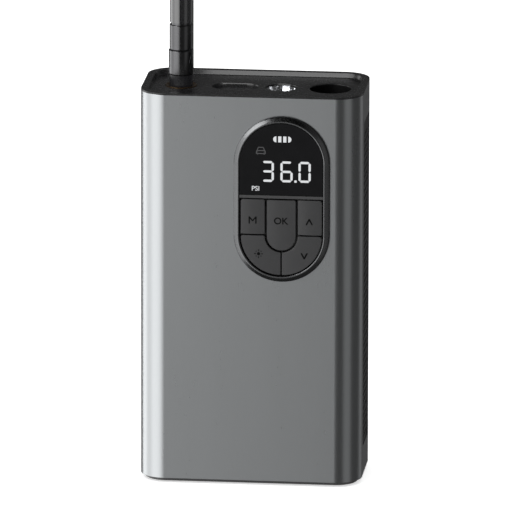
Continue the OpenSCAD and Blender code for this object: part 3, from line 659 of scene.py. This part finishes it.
def cell_wrap():
    """Shrink sleeve of the cells: blue, with a pale band near the top."""
    material, nodes, links, shader = start_material("cell_wrap")
    band_z, band_height, top_z = 66.0 * MM, 3.0 * MM, 90.0 * MM
    blue, pale = (0.045, 0.19, 0.36, 1), (0.70, 0.72, 0.72, 1)
    place = add(nodes, "TexCoord")
    split = add(nodes, "SeparateXYZ")
    scale = add_maths(nodes, "DIVIDE", 1, top_z)
    bands = add(nodes, "ValToRGB")
    ramp = bands.color_ramp
    ramp.interpolation = "CONSTANT"
    ramp.elements[0].color = blue
    ramp.elements[1].position = band_z / top_z
    ramp.elements[1].color = pale
    ramp.elements.new((band_z + band_height) / top_z).color = blue
    grained = add_group(nodes, grain_group(), Scale=700.0, Tint=0.08, Rough_Low=0.22, Rough_High=0.36)
    wire(links,
         (place, "Object", split, "Vector"), (split, "Z", scale, 0), (scale, 0, bands, "Fac"),
         (place, "Object", grained, "Vector"), (bands, "Color", grained, "Color"),
         (grained, "Color", shader, "Base Color"), (grained, "Roughness", shader, "Roughness"))
    return material


def keep_dark(*pieces):
    """Keeps pieces out of the front card's reflection."""
    unlit = bpy.data.collections["not_lit_by_front_card"]
    for obj in pieces:
        unlit.objects.link(obj)
    for entry in unlit.collection_objects:
        entry.light_linking.link_state = "EXCLUDE"


# ---- operators ----

class INFLATOR_OT_studio(bpy.types.Operator):
    """Camera, pale floor, soft light and the reflectors that shape the metal's highlights"""
    bl_idname = "inflator.studio"
    bl_label = "Studio"

    def execute(self, context):
        self.camera(context)
        self.room(context)
        self.reflectors()
        return {"FINISHED"}

    def camera(self, context):
        studio = context.scene.inflator_studio
        back = Vector((math.sin(studio.azimuth) * math.cos(studio.elevation),
                       -math.cos(studio.azimuth) * math.cos(studio.elevation),
                       math.sin(studio.elevation)))
        right = Vector((math.cos(studio.azimuth), math.sin(studio.azimuth), 0))
        up = back.cross(right)
        tilted_right = right * math.cos(studio.roll) + up * math.sin(studio.roll)
        tilted_up = up * math.cos(studio.roll) - right * math.sin(studio.roll)
        aim = right * studio.aim_right + Vector((0, MID_Y, studio.aim_height))
        camera = bpy.data.objects.new("camera", bpy.data.cameras.new("camera"))
        context.scene.collection.objects.link(camera)
        camera.data.lens = studio.lens
        camera.data.sensor_width = 36.0
        camera.data.clip_start = 0.1
        camera.data.clip_end = 60.0
        turned = Matrix((tilted_right, tilted_up, back)).transposed().to_4x4()
        camera.matrix_world = Matrix.Translation(aim + back * studio.distance) @ turned
        context.scene.camera = camera

    def room(self, context):
        context.scene.view_settings.view_transform = "Standard"
        world = bpy.data.worlds.new("studio")
        context.scene.world = world
        world.use_nodes = True
        nodes = world.node_tree.nodes
        white = (1, 1, 1, 1)
        # white to the camera and to diffuse light, and dim in reflections
        fill = set_values(nodes["Background"], {"Color": white, "Strength": 1.0})
        dim = add(nodes, "Background", Color=white, Strength=context.scene.inflator_studio.dim)
        path = add(nodes, "LightPath")
        either = add_maths(nodes, "MAXIMUM")
        mix = add(nodes, "MixShader")
        wire(world.node_tree.links,
             (path, "Is Camera Ray", either, 0), (path, "Is Diffuse Ray", either, 1),
             (either, 0, mix, "Fac"), (dim, "Background", mix, 1), (fill, "Background", mix, 2),
             (mix, "Shader", nodes["World Output"], "Surface"))
        bm = bmesh.new()
        bmesh.ops.create_grid(bm, x_segments=1, y_segments=1, size=20.0)
        floor = loose(bm, "floor")
        floor.data.materials.append(look("floor_paper"))
        floor.visible_glossy = False
        key = bpy.data.objects.new("key_light", bpy.data.lights.new("key_light", "AREA"))
        context.scene.collection.objects.link(key)
        key.data.energy = 9.0
        key.data.size = 0.9
        key.location = (-0.9, -0.9, 1.3)
        key.rotation_mode = "QUATERNION"
        key.rotation_quaternion = (LIT_SPOT - key.location).to_track_quat("-Z", "Y")
        key.visible_glossy = False
        key.visible_camera = False

    def reflectors(self):
        cards = {name: self.reflector(name, *facts) for name, *facts in CARDS}
        # the dark hose does not mirror the front card, and the deck card is there for the cap alone
        for name, receivers in (("front_card", "not_lit_by_front_card"), ("deck_card", "lit_by_deck_card")):
            cards[name].light_linking.receiver_collection = bpy.data.collections.new(receivers)

    def reflector(self, name, azimuth, elevation, width, height, brightness, distance=1.5):
        """A glowing card, seen only in reflections, that faces the pump."""
        a, e = math.radians(azimuth), math.radians(elevation)
        way = Vector((math.sin(a) * math.cos(e), -math.cos(a) * math.cos(e), math.sin(e)))
        bm = bmesh.new()
        bmesh.ops.create_grid(bm, x_segments=1, y_segments=1, size=0.5)
        bmesh.ops.scale(bm, vec=(2 * distance * math.tan(math.radians(width / 2)),
                                 2 * distance * math.tan(math.radians(height / 2)), 1), verts=bm.verts)
        facing = (-way).to_track_quat("Z", "Y").to_matrix().to_4x4()
        turn(bm, Matrix.Translation(way * distance + LIT_SPOT) @ facing)
        card = loose(bm, name)
        glow = bpy.data.materials.new(name)
        glow.use_nodes = True
        nodes = glow.node_tree.nodes
        light = add(nodes, "Emission", Strength=brightness)
        wire(glow.node_tree.links, (light, "Emission", nodes["Material Output"], "Surface"))
        card.data.materials.append(glow)
        card.visible_camera = False
        card.visible_diffuse = False
        card.visible_shadow = False
        return card


class INFLATOR_OT_hose(bpy.types.Operator):
    """The air hose and the screw-on chuck at its far end"""
    bl_idname = "inflator.hose"
    bl_label = "Hose and chuck"

    def execute(self, context):
        settings = context.scene.inflator_hose
        body = softened_piece("chuck_barrel", "chuck_body", 0.12 * MM, look("fitting_metal"))
        nut = softened_piece("knurled_nut", "chuck_nut", 0.1 * MM, look("bezel_metal"), "nut")
        paint(look("pad_rubber"), "chuck_seal")
        paint(look("turned_brass"), "chuck_pin")
        curve = bpy.data.curves.new("air_hose_tube", "CURVE")
        curve.dimensions = "3D"
        curve.resolution_u = 10
        curve.bevel_depth = settings.diameter / 2
        curve.bevel_resolution = 10
        curve.use_fill_caps = True
        line = curve.splines.new("BEZIER")
        line.bezier_points.add(len(HOSE_ROUTE) - 1)
        for point, place in zip(line.bezier_points, HOSE_ROUTE):
            point.co = place
            point.handle_left_type = "AUTO"
            point.handle_right_type = "AUTO"
        curve.materials.append(look("hose_rubber"))
        hose = bpy.data.objects.new("air_hose_tube", curve)
        context.scene.collection.objects.link(hose)
        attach(hose, "body")
        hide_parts("air_hose")
        keep_dark(hose)
        return {"FINISHED"}


class INFLATOR_OT_hose_fittings(bpy.types.Operator):
    """The plug-in neck, grip collar and ferrule at the foot of the hose"""
    bl_idname = "inflator.hose_fittings"
    bl_label = "Hose fittings"

    def execute(self, context):
        collar = softened_piece("grip_collar", "hose_collar", 0.1 * MM, look("fitting_metal"))
        ferrule = softened_piece("crimp_ferrule", "hose_ferrule", 0.1 * MM, look("fitting_metal"))
        paint(look("neck_plastic"), "hose_neck")
        keep_dark(collar, ferrule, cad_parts["hose_neck"])
        return {"FINISHED"}


class INFLATOR_OT_sleeve(bpy.types.Operator):
    """The extruded aluminium sleeve with its panel opening and side slots"""
    bl_idname = "inflator.sleeve"
    bl_label = "Sleeve"

    def execute(self, context):
        shell = context.scene.inflator_shell
        width, depth = SHELL_HI.x - SHELL_LO.x, SHELL_HI.y - SHELL_LO.y
        height = SHELL_HI.z - SHELL_LO.z
        wall, radius = shell.wall, shell.corner_radius
        bm = block(sheet(width, depth, radius, 28), height)
        ends = [e for e in sharp_edges(bm, 60) if abs(e.verts[0].co.z - e.verts[1].co.z) < 1e-6]
        soften(bm, shell.edge_round, 3, ends)
        shift(bm, 0, MID_Y, SHELL_LO.z)
        inside = shift(block(sheet(width - 2 * wall, depth - 2 * wall, radius - wall, 20), height + 10 * MM),
                       0, MID_Y, SHELL_LO.z - 5 * MM)
        skirt = 15.2 * MM
        straight = (BEZEL_HI.z - BEZEL_LO.z) - (BEZEL_HI.x - BEZEL_LO.x)
        opening = turn(block(sheet(2 * skirt, 2 * skirt + straight, skirt, 32), 6 * MM), FRONT)
        shift(opening, PANEL_X, SHELL_LO.y + 4 * MM, PANEL_Z)
        lo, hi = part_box("side_grille_left")
        slot_width, slot_height = 18 * MM, hi.z - lo.z - 2 * MM
        slots = turn(block(sheet(slot_width, slot_height, 2 * MM, 8), width + 20 * MM), LEFT)
        shift(slots, SHELL_HI.x + 10 * MM, MID_Y, (lo.z + hi.z) / 2)
        piece("alloy_sleeve", carve(bm, (inside, opening, slots)), look("anodised_alloy"), "body",
              ("housing",))
        return {"FINISHED"}


class INFLATOR_OT_top_cap(bpy.types.Operator):
    """The black top cap with its sunken deck and four ports"""
    bl_idname = "inflator.top_cap"
    bl_label = "Top cap"

    def execute(self, context):
        shell = context.scene.inflator_shell
        width, depth = SHELL_HI.x - SHELL_LO.x, SHELL_HI.y - SHELL_LO.y
        rim = CAP_HI.z - SHELL_HI.z
        slip = 0.1 * MM
        bm = sheet(width, depth, shell.corner_radius, 28)
        top, bottom = raise_face(bm, rim)
        # the flat rim, then a steep wall and its soft foot down to the deck
        for inward, up in ((shell.rim_width / MM, 0.0), (0.04, -0.05),
                           (0.19, -0.43), (0.19, -0.43), (0.19, -0.43), (0.10, -0.09), (0.20, -0.07)):
            step(bm, top, inward * MM, up * MM)
        step(bm, bottom, shell.wall + slip, 0)
        step(bm, bottom, 0, shell.plug_depth)
        shift(bm, 0, MID_Y, SHELL_HI.z)
        # two posts under the deck carry the main board
        half, foot, head = 2 * MM, 98 * MM, 135 * MM
        post_front, post_back = MID_Y + 14.5 * MM, MID_Y + 18 * MM
        posts = [box_between((x - half, post_front, foot), (x + half, post_back, head))
                 for x in (-27 * MM, 10 * MM)]
        cap = piece("deck_cap", carve(bm, self.ports(), posts), look("cap_plastic"), "body",
                    ("top_cap",), smooth=40)
        bpy.data.collections["lit_by_deck_card"].objects.link(cap)
        return {"FINISHED"}

    def port(self, bm, x, chamfer, depth):
        """Cutter from above the deck: a chamfered mouth, then straight down."""
        over = 0.3 * MM
        _, bottom = raise_face(bm, over)
        step(bm, bottom, chamfer, 2 * chamfer)
        step(bm, bottom, 0, depth - 2 * chamfer)
        return shift(bm, x, MID_Y, DECK_Z)

    def ports(self):
        outlet = centre_of("outlet_ring").x
        usb = centre_of("usb_shell").x
        torch = centre_of("torch_lens").x
        storage = centre_of("storage_sleeve").x
        chamfer = 0.2 * MM
        pocket_w, pocket_d = 15.8 * MM, 8.8 * MM
        slot_w, slot_d = 9.1 * MM, 3.3 * MM
        through = 9 * MM
        return [
            self.port(disc(5.55 * MM + chamfer / 2), outlet, chamfer / 2, 0.6 * MM),
            shift(block(disc(4.9 * MM), 2 * through), outlet, MID_Y, DECK_Z - through),
            self.port(sheet(pocket_w + 2 * chamfer, pocket_d + 2 * chamfer, pocket_d / 2 + chamfer, 24),
                      usb, chamfer, 1.6 * MM),
            shift(block(sheet(slot_w, slot_d, slot_d / 2, 16), 2 * through), usb, MID_Y, DECK_Z - through),
            self.port(disc(5.3 * MM + chamfer), torch, chamfer, through),
            shift(block(disc(8.0 * MM), 2 * through), storage, MID_Y, DECK_Z - through),
        ]


class INFLATOR_OT_base(bpy.types.Operator):
    """The base cap, its screws and the rubber foot pad"""
    bl_idname = "inflator.base"
    bl_label = "Base"

    def execute(self, context):
        softened_piece("base_plate", "base_cap", 0.25 * MM, look("base_plastic"),
                       segments=3)
        softened_piece("foot_sheet", "foot_pad", 0.2 * MM, look("pad_rubber"))
        paint(look("bright_steel"), "base_screws")
        return {"FINISHED"}


class INFLATOR_OT_grilles(bpy.types.Operator):
    """The perforated side grilles"""
    bl_idname = "inflator.grilles"
    bl_label = "Side grilles"

    def execute(self, context):
        paint(look("grille_paint"), "side_grille_left", "side_grille_right")
        return {"FINISHED"}


class INFLATOR_OT_bezel(bpy.types.Operator):
    """The raised oval bezel and the frame inside it"""
    bl_idname = "inflator.bezel"
    bl_label = "Bezel"

    def execute(self, context):
        width, height = BEZEL_HI.x - BEZEL_LO.x, BEZEL_HI.z - BEZEL_LO.z
        skirt_inset, skirt_depth = 1.5 * MM, 3.2 * MM
        bm = sheet(width, height, width / 2, 36)
        top, bottom = raise_face(bm, 0.35 * MM)
        # up a short side and the slope, over a flat crest and down the inner wall
        for inward, up in ((0.0, 0.45), (0.05, 0.12), (0.42, 0.32), (0.42, 0.32), (0.42, 0.32), (0.14, 0.07),
                           (0.12, 0.02), (0.32, 0.0), (0.09, -0.04), (0.06, -0.08), (0.0, -4.90)):
            step(bm, top, inward * MM, up * MM)
        step(bm, bottom, skirt_inset, 0)
        step(bm, bottom, 0, skirt_depth)
        rims = [*top.edges, *bottom.edges]
        bmesh.ops.delete(bm, geom=[top, bottom], context="FACES_ONLY")
        bmesh.ops.bridge_loops(bm, edges=rims)
        turn(bm, FRONT)
        shift(bm, PANEL_X, SHELL_LO.y, PANEL_Z)
        bmesh.ops.recalc_face_normals(bm, faces=bm.faces)
        piece("oval_bezel", bm, look("bezel_metal"), "body", ("panel_bezel",))
        softened_piece("panel_tray", "panel_frame", 0.08 * MM, look("tray_plastic"))
        return {"FINISHED"}


class INFLATOR_OT_display(bpy.types.Operator):
    """The dark window and its lit symbols"""
    bl_idname = "inflator.display"
    bl_label = "Display"

    def execute(self, context):
        panel = context.scene.inflator_panel
        softened_piece("window_glass", "display_window", 0.12 * MM, look("display_glass"))
        thick = 0.03 * MM
        bm = bmesh.new()
        base, height, width, stroke = 108.75 * MM, panel.digit_height, panel.digit_width, panel.stroke
        for figure, right_edge in (("3", 8.62), ("6", 15.12), ("0", 21.36)):
            digit(bm, figure, right_edge * MM - width, base, width, height, stroke, thick)
        joined(bm, shift(block(sheet(0.85 * MM, 0.8 * MM, 0.2 * MM, 4), thick), 16.1 * MM, 109.1 * MM))
        joined(bm, shift(lettering("PSI", 1.62 * MM, thick), 2.3 * MM, 106.35 * MM))
        self.on_glass("lit_symbols", joined(bm, self.battery(thick)), lit_symbol())
        self.on_glass("car_symbol", self.car(thick), look("unlit_symbol"))
        return {"FINISHED"}

    def on_glass(self, name, bm, material):
        bmesh.ops.recalc_face_normals(bm, faces=bm.faces)
        turn(bm, FRONT)
        shift(bm, 0, WINDOW_LO.y - 0.01 * MM, 0)
        piece(name, bm, material, "body")

    def battery(self, thick):
        """Charge bar: an oblong with round ends, parted by three gaps."""
        whole_w, whole_h, gap, parts = 6.3 * MM, 2.1 * MM, 0.62 * MM, 4
        each = (whole_w - gap * (parts - 1)) / parts
        bars = bmesh.new()
        for i in range(parts):
            bar = sheet(whole_w, whole_h, whole_h / 2, 10)
            start = -whole_w / 2 + i * (each + gap)
            for cut_x, way in ((start, -1), (start + each, 1)):
                bmesh.ops.bisect_plane(bar, geom=bar.verts[:] + bar.edges[:] + bar.faces[:],
                                       plane_co=(cut_x, 0, 0), plane_no=(way, 0, 0), clear_outer=True)
            joined(bars, block(bar, thick))
        return shift(bars, 11.49 * MM, 123.87 * MM)

    def car(self, thick):
        """Outline of a car seen from the front."""
        bm = bmesh.new()
        line = 0.27 * MM
        roof = [(-1.25, 0.25), (-0.85, 1.25), (0.85, 1.25), (1.25, 0.25)]
        nose = [(-1.45, 0.1), (1.45, 0.1), (1.6, -0.95), (-1.6, -0.95)]
        flat_path(bm, [Vector(p) * MM for p in roof], line, thick)
        flat_path(bm, [Vector(p) * MM for p in nose], line, thick, closed=True)
        for x in (-1.15, 1.15):
            flat_bar(bm, Vector((x, -1.35)) * MM, Vector((x, -0.9)) * MM, line * 1.6, thick)
            flat_bar(bm, Vector((x - 0.2, -0.42)) * MM, Vector((x + 0.2, -0.42)) * MM, line, thick)
        return shift(bm, 4.1 * MM, 119.65 * MM)


class INFLATOR_OT_keys(bpy.types.Operator):
    """The five rubber keys and their printed legends"""
    bl_idname = "inflator.keys"
    bl_label = "Keys"

    def execute(self, context):
        panel = context.scene.inflator_panel
        thick = 0.05 * MM
        up = panel.legend_height
        legends = {
            "mode": (self.letter_m(up, thick), 1.31, 95.1),
            "ok": (lettering("OK", up, thick, 0.02), 11.2, 95.03),
            "up": (self.chevron(thick, 1), 20.9, 94.9),
            "light": (self.sun(thick), 3.42, 83.24),
            "down": (self.chevron(thick, -1), 19.2, 82.8),
        }
        for name, (legend, x, z) in legends.items():
            node, body = f"button_{name}", f"key_{name}"
            face = self.key(name, node, body, panel)
            bmesh.ops.recalc_face_normals(legend, faces=legend.faces)
            turn(legend, FRONT)
            shift(legend, x * MM, face + 0.02 * MM, z * MM)
            piece(f"legend_{name}", legend, look("legend_ink"), body)
        return {"FINISHED"}

    def key(self, name, node, body, panel):
        """A key with round corners, a soft front edge and its stem. Returns where its face is."""
        lo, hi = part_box(node)
        plate, stem_r, overlap, sag = 2 * MM, 1.35 * MM, 0.5 * MM, 0.08 * MM
        shrink = 0.2 * MM if name == "ok" else 0.06 * MM
        bm = front_outline(node)
        step(bm, bm.faces[:][0], shrink, 0)
        border = [f for f in bm.faces if f.calc_area() < 10 * MM * MM]
        bmesh.ops.delete(bm, geom=border, context="FACES")
        corners = [v for v in bm.verts if v.calc_edge_angle(0) > math.radians(50)]
        reach, upper_round, lower_round = 0.5 * MM, 0.6 * MM, 0.3 * MM
        top = max(v.co.y for v in corners) - reach
        widest = max(abs(v.co.x - PANEL_X) for v in corners) - reach
        for v in corners:
            if v.co.y > top and abs(v.co.x - PANEL_X) > widest and name != "ok":
                round_corner(bm, v, panel.key_corner)
            else:
                round_corner(bm, v, upper_round if v.co.y > top else lower_round)
        front, _ = raise_face(bm, plate - panel.key_round)
        round_over(bm, front, panel.key_round, 5)
        self.crown(bm, plate - 2 * panel.key_round)
        switch = SWITCH_SPOTS[name]
        stem = shift(block(disc(stem_r, 24), hi.y - lo.y - plate + overlap),
                     switch[0] * MM, switch[1] * MM, lo.y - hi.y + plate)
        solid = turn(carve(bm, added=[stem]), FRONT)
        shift(solid, 0, lo.y + plate, 0)
        piece(f"rubber_key_{name}", solid, look("key_rubber"), body, (node,), smooth=50)
        return lo.y - sag

    def crown(self, bm, above):
        """Arches a key's front from left to right: cuts it both ways, then lifts it between the cuts."""
        rise, sink, slices, rows = 0.30 * MM, 0.22 * MM, 9, 11
        low, high = min(v.co.x for v in bm.verts), max(v.co.x for v in bm.verts)
        foot, head = min(v.co.y for v in bm.verts), max(v.co.y for v in bm.verts)
        slice_width = (high - low) / slices
        cuts = [((low + i * slice_width, 0, 0), (1, 0, 0)) for i in range(1, slices)]
        cuts += [((0, foot + i * (head - foot) / rows, 0), (0, 1, 0)) for i in range(1, rows)]
        for spot, facing in cuts:
            bmesh.ops.bisect_plane(bm, geom=bm.verts[:] + bm.edges[:] + bm.faces[:], dist=1e-7,
                                   plane_co=spot, plane_no=facing)
        lifts = [rise * (1 - (2 * i / slices - 1) ** 2) - sink for i in range(slices + 1)]
        for v in bm.verts:
            if v.co.z > above:
                # straight between two cuts, so that every strip stays flat
                spot = (v.co.x - low) / slice_width
                i = min(int(spot + 1e-4), slices - 1)
                v.co.z += lifts[i] + (lifts[i + 1] - lifts[i]) * (spot - i)

    def letter_m(self, height, thick):
        bm = bmesh.new()
        half, line = height / 2, 0.44 * MM
        flat_path(bm, [Vector((-half, -half)), Vector((-half, half)), Vector((0, -0.1 * height)),
                       Vector((half, half)), Vector((half, -half))], line, thick)
        return bm

    def chevron(self, thick, way):
        bm = bmesh.new()
        foot, tip, line = 1.0 * MM, 0.95 * MM, 0.5 * MM
        flat_path(bm, [Vector((-foot, -way * tip)), Vector((0, way * tip)), Vector((foot, -way * tip))],
                  line, thick)
        return bm

    def sun(self, thick):
        """A small disc, four rays and four dots."""
        bm = block(disc(0.56 * MM, 20), thick)
        for i in range(8):
            a = math.radians(45 * i)
            way = Vector((math.cos(a), math.sin(a)))
            if i % 2:
                joined(bm, shift(block(disc(0.19 * MM, 10), thick), *(way * 1.2 * MM), 0))
            else:
                flat_bar(bm, way * 0.85 * MM, way * 1.6 * MM, 0.34 * MM, thick)
        return bm


class INFLATOR_OT_torch(bpy.types.Operator):
    """The torch: faceted reflector, diode and clear lens"""
    bl_idname = "inflator.torch"
    bl_label = "Torch"

    def execute(self, context):
        at = centre_of("torch_lens")
        lo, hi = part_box("torch_reflector")
        outer = (hi.x - lo.x) / 2
        # bowl from the diode's hole up to the lip, then down the plain outside
        hole, lip_z = 2.0 * MM, 136.1 * MM
        section = [(2.0, 130.1), (3.0, 131.2), (3.9, 132.8), (4.55, 134.6), (5.0, 136.1)]
        outline = [(r * MM, z * MM) for r, z in section] + [(outer, lip_z), (outer, lo.z), (hole, lo.z)]
        bowl = piece("facet_reflector", lathe(outline, at.x, at.y, 12), look("mirror_coat"), "body",
                     ("torch_reflector",), smooth=4)
        bpy.data.collections["lit_by_deck_card"].objects.link(bowl)
        softened_piece("torch_window", "torch_lens", 0.15 * MM, look("clear_lens"))
        paint(look("diode_phosphor"), "torch_led")
        return {"FINISHED"}


class INFLATOR_OT_sockets(bpy.types.Operator):
    """The charging socket, the hose outlet and the chuck's storage hole"""
    bl_idname = "inflator.sockets"
    bl_label = "Sockets"

    def execute(self, context):
        softened_piece("socket_shell", "usb_shell", 0.05 * MM, look("bright_steel"))
        softened_piece("socket_tongue", "usb_tongue", 0.08 * MM, look("neck_plastic"))
        self.outlet()
        self.storage()
        return {"FINISHED"}

    def outlet(self):
        lo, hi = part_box("outlet_ring")
        at = centre_of("outlet_ring")
        outer, inner = (hi.x - lo.x) / 2, 4.15 * MM
        edge = 0.12 * MM
        section = [(outer, lo.z), (outer, hi.z - edge), (outer - edge, hi.z), (outer - 3 * edge, hi.z),
                   (outer - 4 * edge, hi.z - edge), (inner, DECK_Z - 0.3 * MM), (inner, lo.z)]
        piece("bronze_rim", lathe(section, at.x, at.y, 96), look("ring_bronze"), "body",
              ("outlet_ring",))
        paint(look("turned_brass"), "outlet_socket")
        paint(look("pad_rubber"), "outlet_o_ring")

    def storage(self):
        lo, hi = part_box("storage_sleeve")
        at = centre_of("storage_sleeve")
        outer, bore, floor = (hi.x - lo.x) / 2, 7.1 * MM, 1.5 * MM
        lip = 0.3 * MM
        section = [(0, lo.z), (outer, lo.z), (outer, hi.z - 0.05 * MM), (outer - 0.05 * MM, hi.z),
                   (bore + lip, hi.z), (bore + 0.3 * lip, hi.z - 0.3 * lip), (bore, hi.z - lip),
                   (bore, lo.z + floor), (0, lo.z + floor)]
        # the bore carries painted shade, a darker copy of the black plastic, and only the top lip keeps the
        # cap's plastic
        tube = piece("storage_tube", lathe(section, at.x, at.y, 96), look("storage_black"), "body",
                     ("storage_sleeve",))
        tube.data.materials.append(look("cap_plastic"))
        for face in tube.data.polygons:
            if face.center.z > hi.z - 0.8 * lip:
                face.material_index = 1


class INFLATOR_OT_inside(bpy.types.Operator):
    """Finishes of the compressor, the battery and the boards inside"""
    bl_idname = "inflator.inside"
    bl_label = "Inner parts"

    def execute(self, context):
        paint(look("frame_steel"), "gear_frame", "motor_can", "crank_gear")
        paint(look("cast_alloy"), "cylinder_barrel", "cylinder_head")
        paint(look("bright_steel"), "head_screws", "board_screws", "motor_shaft", "crank_pin", "gear_axle",
              "crank_washer", "battery_strips", "tact_switches")
        paint(look("turned_brass"), "motor_pinion", "axle_bush")
        paint(look("neck_plastic"), "motor_end_cap", "cooling_fan", "pressure_sensor", "piston")
        paint(look("white_moulding"), "yoke", "piston_ring", "battery_holder", "display_module")
        paint(look("silicone_tube"), "delivery_tube")
        paint(cell_wrap(), "battery_cells")
        paint(circuit_board(), "control_board", "main_board")
        paint(look("wire_red"), "wiring")
        return {"FINISHED"}


class INFLATOR_PT_panel(bpy.types.Panel):
    """Buttons and sizes of the tyre inflator"""
    bl_idname = "INFLATOR_PT_panel"
    bl_label = "Tyre inflator"
    bl_space_type = "VIEW_3D"
    bl_region_type = "UI"
    bl_category = "Inflator"

    def draw(self, context):
        for operator in OPERATORS:
            self.layout.operator(operator.bl_idname)
        for group in (context.scene.inflator_shell, context.scene.inflator_panel,
                      context.scene.inflator_hose, context.scene.inflator_studio):
            column = self.layout.column()
            for name in group.__annotations__:
                column.prop(group, name)


GROUPS = {"inflator_shell": InflatorShell, "inflator_panel": InflatorPanel,
          "inflator_hose": InflatorHose, "inflator_studio": InflatorStudio}
OPERATORS = (INFLATOR_OT_studio, INFLATOR_OT_hose, INFLATOR_OT_hose_fittings, INFLATOR_OT_sleeve,
             INFLATOR_OT_top_cap, INFLATOR_OT_base, INFLATOR_OT_grilles, INFLATOR_OT_bezel,
             INFLATOR_OT_display, INFLATOR_OT_keys, INFLATOR_OT_torch, INFLATOR_OT_sockets,
             INFLATOR_OT_inside)


def register():
    for cls in (*GROUPS.values(), *OPERATORS, INFLATOR_PT_panel):
        bpy.utils.register_class(cls)
    for name, cls in GROUPS.items():
        setattr(bpy.types.Scene, name, PointerProperty(type=cls))


def unregister():
    for name in GROUPS:
        delattr(bpy.types.Scene, name)
    for cls in reversed((*GROUPS.values(), *OPERATORS, INFLATOR_PT_panel)):
        bpy.utils.unregister_class(cls)


def main():
    register()
    # the camera and the cord come first
    bpy.ops.inflator.studio()
    bpy.ops.inflator.hose()
    bpy.ops.inflator.hose_fittings()
    bpy.ops.inflator.sleeve()
    bpy.ops.inflator.top_cap()
    bpy.ops.inflator.base()
    bpy.ops.inflator.grilles()
    bpy.ops.inflator.bezel()
    bpy.ops.inflator.display()
    bpy.ops.inflator.keys()
    bpy.ops.inflator.torch()
    bpy.ops.inflator.sockets()
    bpy.ops.inflator.inside()


if __name__ == "__main__":
    main()
